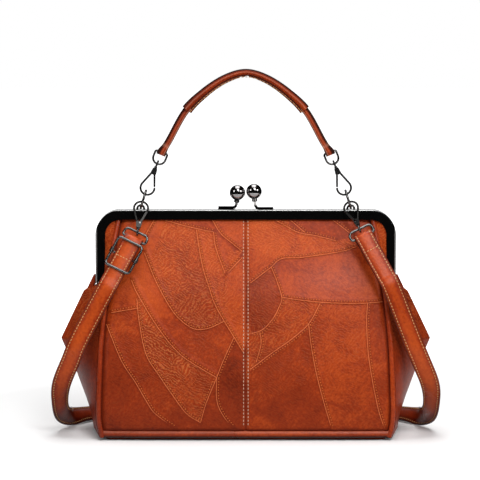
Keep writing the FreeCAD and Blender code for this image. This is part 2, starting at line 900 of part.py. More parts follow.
def strap_tail():
    """The doubled length between the loop and the slider's bar."""
    inner = slider_bar_radius + loop_fit
    wrap = strap_tube(inner, tail_thickness, slider_place, bar_depth())
    start = strap_loop_wire + loop_fit + strap_thickness + seam_gap
    top_depth = -strap_loop_wire - loop_fit - tail_thickness / 2
    low_depth = bar_depth() - inner - tail_thickness / 2
    strip = strap_strip([(start, top_depth), (slider_place, low_depth)], tail_thickness)
    bore_start = Vector(-strap_width / 2 - 1, bar_depth(), slider_place)
    bore = Part.makeCylinder(inner, strap_width + 2, bore_start, Vector(1, 0, 0))
    return on_run(-1, wrap.fuse(strip).cut(bore).removeSplitter())


# Leather body and lining. The value face is -1 for the front and 1 for the rear.


def thick_line(line, thickness):
    """Closed outline of a bent strip: the line and its offset to the left by a thickness."""
    normals = []
    for start, end in zip(line, line[1:]):
        step = (end - start).normalize()
        normals.append(Vector(-step.y, step.x, 0))
    shifted = []
    for index, spot in enumerate(line):
        first = normals[max(index - 1, 0)]
        second = normals[min(index, len(normals) - 1)]
        shifted.append(spot + (first + second) * (thickness / (1 + first.dot(second))))
    return line + shifted[::-1]


def panel_line(height, face, low, high, inset):
    """Plan of a panel at a height, between shares of its width, set in from the body's outside."""
    edge = body_width(height) - piping_radius - seam_gap
    depth = body_depth(height) - inset
    flat = 0.75
    shares = [low] + [share for share in (-flat, flat) if low < share < high] + [high]
    line = []
    for share in shares:
        drop = panel_corner_drop * max(abs(share) - flat, 0) / (1 - flat)
        line.append(Vector(edge * share, face * (depth - drop), height))
    return line


def panel(face, bottom, top, low, high, inset, thickness):
    sections = []
    for height in levels(bottom, top):
        line = panel_line(height, face, low, high, inset)
        sections.append(thick_line(line, -face * thickness))
    return loft(sections)


def panel_bottom():
    return base_thickness + 2 * base_piping_radius + 2 * seam_gap


def panel_top():
    return rail_under + tuck


def seam_depth(height):
    """Depth where the gusset begins behind the piping."""
    return body_depth(height) - 2 * piping_radius + 0.5


def gusset(sign, bottom, top):
    """Side wall folded outwards along a crease in the middle."""
    heights = sorted(set(levels(bottom, top) + [row[0] for row in crease if bottom < row[0] < top]))
    sections = []
    for height in heights:
        seam = sign * (body_width(height) + leather / 2)
        depth = seam_depth(height)
        fold = Vector(sign * wing(height), 0, height)
        line = [Vector(seam, -depth, height), fold, Vector(seam, depth, height)]
        sections.append(thick_line(line, sign * leather))
    return loft(sections)


def gusset_fold(sign):
    """Upper gusset, with the ear of folded leather that stands up outside the hinge."""
    wall = gusset(sign, lower_edge + seam_gap, gusset_edge)
    near = sign * (side + ear_clearance)
    low = gusset_edge - 1
    sections = []
    for height, half in ((low, 9.0), (ear_height, 0.8)):
        reach = sign * (wing(height) - 0.1)
        sections.append([Vector(near, -half, height), Vector(reach, 0, height), Vector(near, half, height)])
    return wall.fuse(loft(sections)).removeSplitter()


def leg_inside(height):
    """Inner edge of the frame's leg and rounded corner at a height."""
    inner = frame_corner - rail_face
    if height <= corner_z:
        return side - rail_face
    return corner_x + math.sqrt(max(inner**2 - (height - corner_z) ** 2, 0))


def pocket_reach(height):
    """Middle of the frame's pocket beside the leg and the rounded corner."""
    inner = frame_corner - rail_face / 2
    if height < leg_end:
        return side - rail_face + leather
    if height <= corner_z:
        return side - rail_face / 2
    return corner_x + math.sqrt(inner**2 - (height - corner_z) ** 2)


def gusset_strip(sign, face):
    """Strip of the gusset from the seam into the pocket of one frame half."""
    low = gusset_edge + seam_gap
    high = rail_under - piping_radius - 2 * seam_gap
    steps = [low, leg_end - seam_gap, leg_end + 4.0, frame_top - 55.0, frame_top - 42.0, frame_top - 30.0]
    sections = []
    for height in steps + [corner_z, corner_z + 6.0, high]:
        bend = leg_inside(height) - leather / 2
        line = [
            Vector(sign * (body_width(height) + leather / 2), face * seam_depth(height), height),
            Vector(sign * bend, face * (middle + leather * 0.8), height),
            Vector(sign * pocket_reach(height), face * (middle + leather / 2), height),
        ]
        sections.append(thick_line(line, -face * sign * leather))
    return loft(sections)


def piping_side(sign, face, bottom, top):
    """Round cord in the side seam."""
    sections = []
    for height in levels(bottom, top):
        centre = Vector(sign * body_width(height), face * (body_depth(height) - piping_radius + 0.8), height)
        ring = []
        for step in range(8):
            angle = math.radians(45 * step + 22.5)
            ring.append(centre + Vector(math.cos(angle), math.sin(angle), 0) * piping_radius)
        sections.append(ring)
    return loft(sections)


def piping_height():
    return base_thickness + base_piping_radius + seam_gap


def piping_top():
    return rail_under - piping_radius - seam_gap


def base_piping(face, top):
    """Cord along the base seam and up both side seams to a height."""
    low = piping_height()
    reach = body_width(low)
    depth = face * (body_depth(low) - piping_radius + 0.8)
    bar = Part.makeCylinder(base_piping_radius, 2 * reach, Vector(-reach, depth, low), Vector(1, 0, 0))
    pieces = []
    for sign in (-1, 1):
        pieces.append(Part.makeSphere(base_piping_radius, Vector(sign * reach, depth, low)))
        pieces.append(piping_side(sign, face, low, top))
    return bar.fuse(pieces).removeSplitter()


def floor_outline(height, inset):
    """Six-sided plan of the body at a height, set in from the outside."""
    width = body_width(height) - inset
    depth = body_depth(height) - inset
    reach = wing(height) - inset * 1.2
    plan = [(-width, -depth), (width, -depth), (reach, 0), (width, depth), (-width, depth), (-reach, 0)]
    return plan


def base_plate(low, thickness, inset):
    points = [Vector(x, y, low) for x, y in floor_outline(low, inset)]
    return Part.Face(outline(points)).extrude(Vector(0, 0, thickness))


def lining_tub():
    """Fabric tub that stands on the base board, open at the top."""
    floor = base_thickness + board_thickness + 2 * seam_gap
    inset = 2 * piping_radius + leather + lining_gap
    outer = []
    inner = []
    for height in levels(floor, lower_edge):
        outer.append([Vector(x, y, height) for x, y in floor_outline(height, inset)])
        raised = max(height, floor + lining)
        inner.append([Vector(x, y, raised) for x, y in floor_outline(raised, inset + lining)])
    lid = [Vector(spot.x, spot.y, lower_edge + 1) for spot in inner[-1]]
    return loft(outer).cut(loft(inner + [lid]))


def soft_parts():
    upper = panel_top()
    pieces = {
        "front_panel_left": panel(-1, panel_bottom(), upper, -1.0, -0.001, 0, leather),
        "front_panel_right": panel(-1, panel_bottom(), upper, 0.001, 1.0, 0, leather),
        "rear_panel_lower": panel(1, panel_bottom(), lower_edge, -1.0, 1.0, 0, leather),
        "rear_panel_fold": panel(1, lower_edge + seam_gap, upper_edge - seam_gap, -1.0, 1.0, 0, leather),
        "rear_panel_upper": panel(1, upper_edge, upper, -1.0, 1.0, 0, leather),
        "base_panel": base_plate(0, base_thickness, 0),
        "base_board": base_plate(base_thickness + seam_gap, board_thickness, 3 * piping_radius),
        "front_piping": base_piping(-1, piping_top()),
        "rear_piping_lower": base_piping(1, lower_edge),
        "lining_tub": lining_tub(),
    }
    inset = leather + lining_gap
    pieces["lining_front"] = panel(-1, lower_edge + seam_gap, upper, -0.9, 0.9, inset, lining)
    pieces["lining_rear_fold"] = panel(
        1, lower_edge + seam_gap, upper_edge - seam_gap, -0.9, 0.9, inset, lining
    )
    pieces["lining_rear_upper"] = panel(1, upper_edge, upper, -0.9, 0.9, inset, lining)
    for sign, name in ((-1, "left"), (1, "right")):
        pieces["gusset_" + name] = gusset(sign, base_thickness + seam_gap, lower_edge)
        pieces["gusset_" + name + "_fold"] = gusset_fold(sign)
        pieces["gusset_" + name + "_front"] = gusset_strip(sign, -1)
        pieces["gusset_" + name + "_rear"] = gusset_strip(sign, 1)
    folds = [piping_side(sign, 1, lower_edge + seam_gap, upper_edge - seam_gap) for sign in (-1, 1)]
    uppers = [piping_side(sign, 1, upper_edge, piping_top()) for sign in (-1, 1)]
    pieces["rear_piping_fold"] = Part.makeCompound(folds)
    pieces["rear_piping_upper"] = Part.makeCompound(uppers)
    return pieces


def hook_set(name, place, gate_side):
    """A snap hook with its gate, rivet and swivel eye at a place."""
    origin, along = place
    shapes = {
        "hook": hook_body(gate_side),
        "gate": hook_gate(gate_side),
        "rivet": gate_rivet(gate_side),
        "swivel": swivel_eye(),
    }
    pieces = {}
    for kind, shape in shapes.items():
        pieces[name + "_" + kind] = placed(shape, origin, along, Vector(0, 1, 0))
    return pieces


def metal_parts():
    pieces = {
        "frame_front": frame_front(),
        "frame_rear": frame_rear(),
        "clasp_arm_rear": clasp_arm(-1),
        "clasp_arm_front": clasp_arm(1),
        "clasp_ball_rear": clasp_ball(-1),
        "clasp_ball_front": clasp_ball(1),
        "hinge_rivets": Part.makeCompound([hinge_rivet(-1), hinge_rivet(1)]),
        "slider_frame": slider_frame(),
        "slider_bar": slider_bar(),
    }
    for sign, name in ((-1, "left"), (1, "right")):
        pieces["staple_" + name] = staple(sign)
        pieces["ring_" + name] = link_ring(sign)
        pieces["handle_ring_" + name] = handle_ring(sign)
        pieces["strap_loop_" + name] = strap_loop(sign)
        pieces.update(hook_set("handle_" + name, handle_hook_place(sign), -sign))
        pieces.update(hook_set("strap_" + name, strap_hook_place(sign), sign))
    return pieces


parts = soft_parts()
parts.update(metal_parts())
parts["handle_strap"] = handle_strap()
parts["handle_grip"] = handle_grip()
parts["shoulder_strap"] = shoulder_strap()
parts["strap_tail"] = strap_tail()

for name, shape in parts.items():
    shape.exportStep("parts/" + name + ".step")
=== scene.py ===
import math

import bmesh
import bpy
import numpy as np
from mathutils import Matrix, Vector


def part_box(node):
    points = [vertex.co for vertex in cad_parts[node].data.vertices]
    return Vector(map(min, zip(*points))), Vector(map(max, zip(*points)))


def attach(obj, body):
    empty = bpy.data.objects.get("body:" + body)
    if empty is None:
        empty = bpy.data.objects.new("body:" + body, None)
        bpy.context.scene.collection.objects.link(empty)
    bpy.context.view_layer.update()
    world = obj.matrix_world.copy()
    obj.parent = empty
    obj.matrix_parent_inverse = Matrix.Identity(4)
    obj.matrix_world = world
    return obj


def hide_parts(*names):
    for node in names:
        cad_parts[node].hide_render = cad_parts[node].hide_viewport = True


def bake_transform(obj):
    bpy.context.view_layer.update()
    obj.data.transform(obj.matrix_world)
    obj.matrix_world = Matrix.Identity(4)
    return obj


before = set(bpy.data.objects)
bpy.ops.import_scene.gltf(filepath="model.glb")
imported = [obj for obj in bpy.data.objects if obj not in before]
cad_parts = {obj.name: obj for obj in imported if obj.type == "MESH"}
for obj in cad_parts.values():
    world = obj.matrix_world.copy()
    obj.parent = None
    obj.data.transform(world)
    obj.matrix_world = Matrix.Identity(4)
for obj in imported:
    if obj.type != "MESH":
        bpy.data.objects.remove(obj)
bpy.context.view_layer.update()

mm = 0.001  # sizes below are in millimetres unless a note says otherwise
scene = bpy.context.scene
print("frame loaded:", len(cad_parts), "nodes")


# materials

class Wire:  # one output socket, whose arithmetic adds Math nodes
    def __init__(self, paint, socket):
        self.paint = paint
        self.socket = socket

    def combine(self, operation, first, second):
        return self.paint.node("ShaderNodeMath", {"operation": operation}, {0: first, 1: second})

    def __add__(self, other):
        return self.combine("ADD", self, other)

    def __sub__(self, other):
        return self.combine("SUBTRACT", self, other)

    def __rsub__(self, other):
        return self.combine("SUBTRACT", other, self)

    def __mul__(self, other):
        return self.combine("MULTIPLY", self, other)

    def __abs__(self):
        return self.combine("ABSOLUTE", self, 0)

    __radd__ = __add__
    __rmul__ = __mul__


class Paint:  # the nodes of a material or of the world
    def __init__(self, name, holders=bpy.data.materials):
        self.material = holders.new(name)
        self.material.use_nodes = True
        self.tree = self.material.node_tree
        self.tree.nodes.clear()
        self.place = self.node("ShaderNodeTexCoord", output="Object")

    def node(self, kind, settings=None, inputs=None, output=0):
        made = self.tree.nodes.new(kind)
        for key, value in (settings or {}).items():
            if key == "stops":
                self.setStops(made.color_ramp.elements, value)
            else:
                setattr(made, key, value)
        for key, value in (inputs or {}).items():
            if isinstance(value, Wire):
                self.tree.links.new(value.socket, made.inputs[key])
            else:
                made.inputs[key].default_value = value
        return Wire(self, made.outputs[output]) if made.outputs else None

    def setStops(self, elements, stops):
        while len(elements) < len(stops):
            elements.new(0.5)
        for element, (position, value) in zip(elements, stops):
            element.position = position
            element.color = (value, value, value, 1)

    def noise(self, scale, detail=3, distortion=0, stretch=None):
        place = self.place
        if stretch:
            place = self.node("ShaderNodeMapping", None, {"Vector": place, "Scale": stretch})
        values = {"Vector": place, "Scale": scale, "Detail": detail, "Distortion": distortion}
        return self.node("ShaderNodeTexNoise", None, values)

    def ramp(self, value, *stops):
        return self.node("ShaderNodeValToRGB", {"stops": stops}, {0: value})

    def mix(self, factor, first, second):
        return self.node("ShaderNodeMix", {"data_type": "RGBA"}, {0: factor, 6: first, 7: second}, 2)

    def attribute(self, name):
        return self.node("ShaderNodeAttribute", {"attribute_name": name}, None, "Fac")

    def bump(self, height, strength, distance, under=None):
        values = {"Height": height, "Strength": strength, "Distance": distance}
        if under:
            values["Normal"] = under
        return self.node("ShaderNodeBump", None, values)

    def surface(self, values):
        shader = self.node("ShaderNodeBsdfPrincipled", None, values)
        self.node("ShaderNodeOutputMaterial", None, {"Surface": shader})
        return self.material


def shade(red, green, blue):
    return (red, green, blue, 1)


def dim(colour, share):
    return tuple(part * share for part in colour[:3]) + (1,)


leatherLook = {
    "light": shade(0.78, 0.125, 0.017),
    "ridge": shade(0.90, 0.27, 0.075),
    "middle": shade(0.40, 0.043, 0.007),
    "deep": shade(0.14, 0.013, 0.0035),
    # dark colour for dyed edges and for painted shade
    "edge": shade(0.03, 0.008, 0.005),
    # pale colour for painted highlight lines and pale edge lines
    "wearAndHighlight": shade(0.80, 0.40, 0.27),
    # scale in a metre, detail and distortion
    "cloudNoise": (10, 3, 0.4), "mottleNoise": (48, 5, 0.7), "speckNoise": (420, 3), "pebbleScale": 1100,
    "cloud": 0.6, "mottle": 0.5, "speck": 0.45,  # how much each moves the tone
    "patch": 0.5, "crumpleShade": 0.08, "base": 0.05,
    "darkStops": [(0.05, 0), (0.5, 1)], "lightStops": [(0.42, 0), (0.95, 1)],
    "fans": [(0.9, 112), (-0.5, 135)],  # turn and scale of the two sets of wrinkles
    "fanWave": {"Distortion": 24, "Detail": 4, "Detail Scale": 0.35, "Detail Roughness": 0.7},
    "fanStops": [(0.5, 0), (0.95, 1)], "fanSwap": [(0.4, 0), (0.6, 1)], "wrinkleTint": 0.38,
    "gloss": 0.30, "glossMottle": 0.18, "glossSeam": 0.1,
    "shine": 0.13, "coatRough": 0.42,
    "pebbles": 0.2, "pebbleDepth": 0.0004,
    "relief": 0.6, "reliefDepth": 0.0014, "mottleRelief": 0.25, "wrinkleRelief": 0.5,
}


def leatherPaint(name, warmth, look=leatherLook):
    # warmth moves the whole piece from the deep to the light tone
    paint = Paint(name)
    marks = ("tone", "seam", "rim", "crumple", "pale")
    tone, seam, rim, crumple, pale = (paint.attribute(mark) for mark in marks)
    cloud, mottle, speck = (paint.noise(*look[kind + "Noise"]) for kind in ("cloud", "mottle", "speck"))
    fans = []
    for turn, scale in look["fans"]:
        fan = paint.node("ShaderNodeMapping", None, {"Vector": paint.place, "Rotation": (0, turn, 0)})
        wave = {"Vector": fan, "Scale": scale, **look["fanWave"]}
        lines = paint.node("ShaderNodeTexWave", {"bands_direction": "Z"}, wave, 1)
        fans.append(paint.ramp(lines, *look["fanStops"]))
    swapped = paint.ramp(mottle, *look["fanSwap"])
    wrinkles = (fans[0] * swapped + fans[1] * (1 - swapped)) * crumple
    depth = cloud * look["cloud"] + mottle * look["mottle"] + speck * look["speck"]
    # crumpled patches are darkened a little, painted shade in their creases
    depth = depth + tone * look["patch"] - crumple * look["crumpleShade"] + (warmth - look["base"] - look["mottle"] / 2)
    darkHalf = paint.mix(paint.ramp(depth, *look["darkStops"]), look["deep"], look["middle"])
    colour = paint.mix(paint.ramp(depth, *look["lightStops"]), darkHalf, look["light"])
    colour = paint.mix(wrinkles * look["wrinkleTint"], colour, look["ridge"])
    # seam darkens the seam lines and paints shade in the grooves by the piping
    colour = paint.mix(seam, colour, look["deep"])
    # rim darkens to the edge colour: dyed edges, and painted shade on the handle's sides and under the base cord
    colour = paint.mix(rim, colour, look["edge"])
    # pale paints highlight lines in the pale colour
    colour = paint.mix(pale, colour, look["wearAndHighlight"])
    pebble = {"Vector": paint.place, "Scale": look["pebbleScale"]}
    pebble = paint.node("ShaderNodeTexVoronoi", {"feature": "F1"}, pebble)
    rough = look["gloss"] + mottle * look["glossMottle"] + seam * look["glossSeam"]
    grain = paint.bump(pebble, look["pebbles"], look["pebbleDepth"])
    folds = mottle * look["mottleRelief"] + wrinkles * look["wrinkleRelief"]
    folds = paint.bump(folds, look["relief"], look["reliefDepth"], grain)
    return paint.surface({
        "Base Color": colour, "Roughness": rough, "Normal": folds, "Specular IOR Level": look["shine"],
        "Coat Weight": paint.attribute("sheen"), "Coat Roughness": look["coatRough"],
    })


threadLook = {
    "twistNoise": (2600, 2), "wornNoise": (60, 2), "twistDark": 0.5, "wornDark": 0.4, "dark": 0.55,
    "rough": 0.75, "shine": 0.05, "relief": 0.5, "depth": 0.0003,
}


def threadPaint(name, colour):
    look = threadLook
    paint = Paint(name)
    twist = paint.noise(*look["twistNoise"])
    wearAndHighlight = paint.noise(*look["wornNoise"])
    darker = twist * look["twistDark"] + wearAndHighlight * look["wornDark"]
    return paint.surface({
        "Base Color": paint.mix(darker, colour, dim(colour, look["dark"])),
        "Roughness": look["rough"], "Normal": paint.bump(twist, look["relief"], look["depth"]),
        "Specular IOR Level": look["shine"],
    })


metalLook = {
    "hazeNoise": (90, 4), "haze": 0.08, "hairNoise": (700, 2, 0, (1, 0.06, 1)), "hair": 0.05,
    "cleanStops": [(0.45, 0), (0.75, 1)], "clean": 0.5, "bright": 1.7, "relief": 0.015, "depth": 0.0002,
}


def metalPaint(name, colour, rough, metallic=1.0):
    look = metalLook
    paint = Paint(name)
    haze = paint.noise(*look["hazeNoise"])
    hair = paint.noise(*look["hairNoise"])
    cleaned = paint.ramp(haze, *look["cleanStops"]) * look["clean"]
    return paint.surface({
        "Base Color": paint.mix(cleaned, colour, dim(colour, look["bright"])),
        "Metallic": metallic,
        "Roughness": rough + haze * look["haze"] + hair * look["hair"],
        "Normal": paint.bump(hair, look["relief"], look["depth"]),
    })


frameLook = {
    "top": 0.1941, "side": 0.1295, "face": 0.0058,  # where the painted edge highlight starts, in metres
    "lacquer": shade(0.003, 0.003, 0.003), "highlightMetal": shade(0.5, 0.5, 0.49),
    "edgeFade": 400, "highlightStops": [(0.0, 0), (0.25, 1)], "metal": 0.5, "gloss": 0.03, "highlightGloss": 0.15,
}


def framePaint(name):
    # black lacquer, with a painted highlight of bright metal along the front edge of the frame's top and sides
    look = frameLook
    paint = Paint(name)
    side, depth, height = (paint.node("ShaderNodeSeparateXYZ", None, {0: paint.place}, axis) for axis in range(3))
    over = side.combine("MAXIMUM", height - look["top"], abs(side) - look["side"])
    over = side.combine("MINIMUM", over, abs(depth) - look["face"])
    # the bright edge is a painted highlight line
    wearAndHighlight = paint.ramp(over * look["edgeFade"], *look["highlightStops"])
    haze = paint.noise(*metalLook["hazeNoise"])
    return paint.surface({
        "Base Color": paint.mix(wearAndHighlight, look["lacquer"], look["highlightMetal"]),
        "Metallic": wearAndHighlight * look["metal"],
        "Roughness": look["gloss"] + haze * metalLook["haze"] + wearAndHighlight * look["highlightGloss"],
    })


clothLook = {
    "threads": 900, "bend": 1.5, "cloudNoise": (30, 3), "threadPale": 0.6, "cloudPale": 0.3,
    "dark": 0.6, "rough": 0.9, "relief": 0.3, "depth": 0.0003,
}


def clothPaint(name, colour):
    look = clothLook
    paint = Paint(name)
    wave = {"Vector": paint.place, "Scale": look["threads"], "Distortion": look["bend"]}
    warp, weft = (paint.node("ShaderNodeTexWave", {"bands_direction": way}, wave, 1) for way in "XZ")
    cloth = warp * 0.5 + weft * 0.5
    cloud = paint.noise(*look["cloudNoise"])
    paler = cloth * look["threadPale"] + cloud * look["cloudPale"]
    return paint.surface({
        "Base Color": paint.mix(paler, dim(colour, look["dark"]), colour),
        "Roughness": look["rough"], "Normal": paint.bump(cloth, look["relief"], look["depth"]),
    })


boardLook = {
    "fleckNoise": (300, 4), "dark": shade(0.05, 0.045, 0.04), "pale": shade(0.09, 0.08, 0.07),
    "rough": 0.8, "relief": 0.2, "depth": 0.0004,
}


def boardPaint(name):
    look = boardLook
    paint = Paint(name)
    fleck = paint.noise(*look["fleckNoise"])
    return paint.surface({
        "Base Color": paint.mix(fleck, look["dark"], look["pale"]),
        "Roughness": look["rough"], "Normal": paint.bump(fleck, look["relief"], look["depth"]),
    })


panelLeather = leatherPaint("waxed patchwork leather", 0.0)
# lighter leather for the raised patch edges, a painted highlight along each seam
edgeHighlightLook = {**leatherLook, "light": shade(0.88, 0.23, 0.075), "middle": shade(0.62, 0.11, 0.03)}
edgeHighlightLeather = leatherPaint("raised patch edges", 0.45, edgeHighlightLook)
smoothLook = {**leatherLook, "gloss": 0.2, "shine": 0.2, "relief": 0.12, "mottle": 0.2}
trimLeather = leatherPaint("trim leather", -0.05, smoothLook)
handleLeather = leatherPaint("handle leather", -0.26, {**smoothLook, "gloss": 0.5, "shine": 0.06})
gussetLeather = leatherPaint("gusset leather", -0.22, {**leatherLook, "shine": 0.05})
creamThread = threadPaint("cream thread", shade(0.86, 0.58, 0.42))
rustThread = threadPaint("rust thread", shade(0.84, 0.20, 0.05))
strapThread = threadPaint("strap thread", shade(0.95, 0.56, 0.24))
hookNickel = metalPaint("dark hook nickel", shade(0.03, 0.029, 0.028), 0.28)
wireNickel = metalPaint("gunmetal wire", shade(0.12, 0.117, 0.114), 0.18)
blackNickel = metalPaint("black nickel", shade(0.075, 0.072, 0.07), 0.05)
ballNickel = metalPaint("polished clasp nickel", shade(0.26, 0.25, 0.25), 0.04)
hookEnamel = metalPaint("black hook enamel", shade(0.006, 0.006, 0.006), 0.3, 0.0)
frameLacquer = framePaint("black frame lacquer")
liningCloth = clothPaint("lining cotton", shade(0.24, 0.14, 0.085))
stiffBoard = boardPaint("base board")
print("materials made")


# mesh helpers
sharpAngle = math.radians(50)
joinGap = 1e-6  # corners nearer than this are one, in metres
sideNames = {-1: "left", 1: "right"}


def weave(bm, columns, rows, place, closed=False):
    # a grid whose corners go where place(column, row) says
    made = bmesh.ops.create_grid(bm, x_segments=columns, y_segments=rows, size=1)["verts"]
    for vert in made:
        column = round((vert.co.x + 1) / 2 * columns)
        row = round((vert.co.y + 1) / 2 * rows)
        vert.co = place(column % columns if closed else column, row)
    if closed:
        bmesh.ops.remove_doubles(bm, verts=made, dist=joinGap)


def closeEnds(bm):
    rims = [edge for edge in bm.edges if edge.is_boundary]
    bmesh.ops.holes_fill(bm, edges=rims, sides=0)
    bmesh.ops.recalc_face_normals(bm, faces=bm.faces)


def thicken(bm, depth):
    # the sheet's front stays, and a second face grows behind it
    bmesh.ops.solidify(bm, geom=bm.faces[:], thickness=depth)


def piece(name, bm, paint, stands=()):
    mesh = bpy.data.meshes.new(name)
    bm.to_mesh(mesh)
    bm.free()
    return meshPiece(name, mesh, paint, stands)


def meshPiece(name, mesh, paint, stands=()):
    mesh.shade_smooth()
    mesh.set_sharp_from_angle(angle=sharpAngle)
    mesh.materials.clear()
    mesh.materials.append(paint)
    made = bpy.data.objects.new(name, mesh)
    scene.collection.objects.link(made)
    if stands:
        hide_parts(*stands)
    return made


def mark(made, name, values):
    layer = made.data.attributes.new(name, "FLOAT", "POINT")
    layer.data.foreach_set("value", np.asarray(values, dtype=np.float32))


def vertexPlaces(made):
    flat = np.zeros(len(made.data.vertices) * 3, np.float32)
    made.data.vertices.foreach_get("co", flat)
    return flat.reshape(-1, 3) / mm


def tubes(name, lines, radius, paint, stands=(), sides=2):
    # round cords along smooth lines of points
    curve = bpy.data.curves.new(name, "CURVE")
    curve.dimensions = "3D"
    curve.bevel_depth = radius * mm
    curve.bevel_resolution = sides
    curve.use_fill_caps = True
    for line in lines:
        spline = curve.splines.new("POLY")
        spline.points.add(len(line) - 1)
        for point, place in zip(spline.points, line):
            point.co = (*(Vector(place) * mm), 1)
    holder = bpy.data.objects.new(name + "Line", curve)
    mesh = bpy.data.meshes.new_from_object(holder)
    bpy.data.objects.remove(holder)
    bpy.data.curves.remove(curve)
    mesh.name = name
    return meshPiece(name, mesh, paint, stands)


def smoothLine(points, step):
    # a smooth line through every point, with corners about a step apart
    spots = [np.array(point, float) for point in points]
    spots = [2 * spots[0] - spots[1]] + spots + [2 * spots[-1] - spots[-2]]
    line = []
    for before, start, end, after in zip(spots, spots[1:], spots[2:], spots[3:]):
        count = max(1, round(np.linalg.norm((end - start)[:3]) / step))
        for share in np.arange(count) / count:
            first = 2 * start + (end - before) * share
            second = (2 * before - 5 * start + 4 * end - after) * share ** 2
            third = (3 * start - before - 3 * end + after) * share ** 3
            line.append((first + second + third) / 2)
    return np.array(line + [spots[-2]])


def headings(line):
    run = np.gradient(line, axis=0)
    return run / np.linalg.norm(run, axis=1)[:, None]


def squareReach(turn, power):
    # reach of a soft-cornered square in one direction
    return (abs(math.cos(turn)) ** power + abs(math.sin(turn)) ** power) ** (-1 / power)


stitchAhead = 0.5  # the heading is read this far along the line
stitchRise = 0.4  # a stitch's height as a share of its width
stitchSides, stitchSteps = 6, 4  # faces round a stitch and along it


def stitchRow(thread, line, normals, look):
    # thread stitches at an even pitch along a line of points in mm
    steps = np.linalg.norm(np.diff(line, axis=0), axis=1)
    runs = np.concatenate(([0], np.cumsum(steps)))
    row = bmesh.new()
    for run in np.arange(look["pitch"] / 2, runs[-1] - stitchAhead, look["pitch"]):
        place, ahead, up = (
            Vector([np.interp(at, runs, values[:, axis]) for axis in range(3)])
            for at, values in ((run, line), (run + stitchAhead, line), (run, normals))
        )
        along = (ahead - place).normalized()
        up = (up - along * up.dot(along)).normalized()
        wide = up.cross(along) * look["width"] / 2
        columns = [along * look["length"] / 2, wide, up * look["width"] * stitchRise]
        turn = Matrix(columns).transposed() * mm
        matrix = Matrix.Translation((place + up * look["lift"]) * mm) @ turn.to_4x4()
        bmesh.ops.create_uvsphere(row, u_segments=stitchSides, v_segments=stitchSteps, radius=1, matrix=matrix)
    mesh = bpy.data.meshes.new("row")
    row.to_mesh(mesh)
    row.free()
    thread.from_mesh(mesh)
    bpy.data.meshes.remove(mesh)


def between(low, high, value):
    # a smooth rise from 0 at low to 1 at high
    share = np.clip((value - low) / (high - low), 0, 1)
    return share * share * (3 - 2 * share)


def fade(low, high, value):
    return 1 - between(low, high, value)


stripeCore = 0.4  # share of a stripe's width that is full


def stripe(value, middle, width):
    # 1 at the middle and 0 a width away
    return fade(width * stripeCore, width, np.abs(value - middle))


# the bag's shape: height, half width and half depth, then height and reach of the side fold
bagShape = {
    "rows": [
        (0, 123, 52.5), (19, 126.4, 55), (50, 126, 53), (83, 124.6, 46), (117, 121.4, 36.3),
        (140, 118, 27), (165, 114.8, 16.5), (185.5, 111, 5.75), (195, 110, 4.85),
    ],
    "fold": [(0, 131.5), (19, 134.5), (52, 146.5), (75, 157), (82, 160), (138, 133.2)],
    "bottom": 7.4, "top": 190.5, "leather": 1.8, "corner": 1.2, "pillow": 2.2,
    "piping": 2.1, "basePiping": 3.5, "basePipingHeight": 5.2, "groove": 1.8, "lap": 1.0,
    "rail": 186.5, "legMiddle": 126.75, "cornerHeight": 173, "cornerMiddle": 109,
    "cornerFrom": 0.7, "crownRise": (5, 60), "crownFade": (120, 184), "crownPower": 4, "rowStep": 2,
    "slack": 0.35, "slackWaves": (17, 31, 23, 41),
}
fineHeights = np.linspace(0, bagShape["rows"][-1][0], 391)  # every half millimetre
smoothRows = smoothLine(bagShape["rows"], bagShape["rowStep"])
halfWidths = np.interp(fineHeights, smoothRows[:, 0], smoothRows[:, 1])
halfDepths = np.interp(fineHeights, smoothRows[:, 0], smoothRows[:, 2])


def bagWidth(height):
    return np.interp(height, fineHeights, halfWidths)


def bagDepth(height):
    return np.interp(height, fineHeights, halfDepths)


def foldReach(height):
    heights, reaches = zip(*bagShape["fold"])
    return np.interp(height, heights, reaches)


def panelDepth(x, height):
    # distance of the leather from the bag's middle plane, without its seams
    edge = bagWidth(height) - bagShape["lap"]
    share = np.abs(x) / edge
    crown = 1 - share ** bagShape["crownPower"]
    crown = crown * between(*bagShape["crownRise"], height) * fade(*bagShape["crownFade"], height)
    aside, rise, upward, across = bagShape["slackWaves"]
    slack = bagShape["slack"] * np.sin(x / aside + height / rise) * np.sin(height / upward - x / across)
    rounded = bagShape["corner"] * between(bagShape["cornerFrom"], 1, share)
    return bagDepth(height) - rounded + (bagShape["pillow"] + slack) * crown


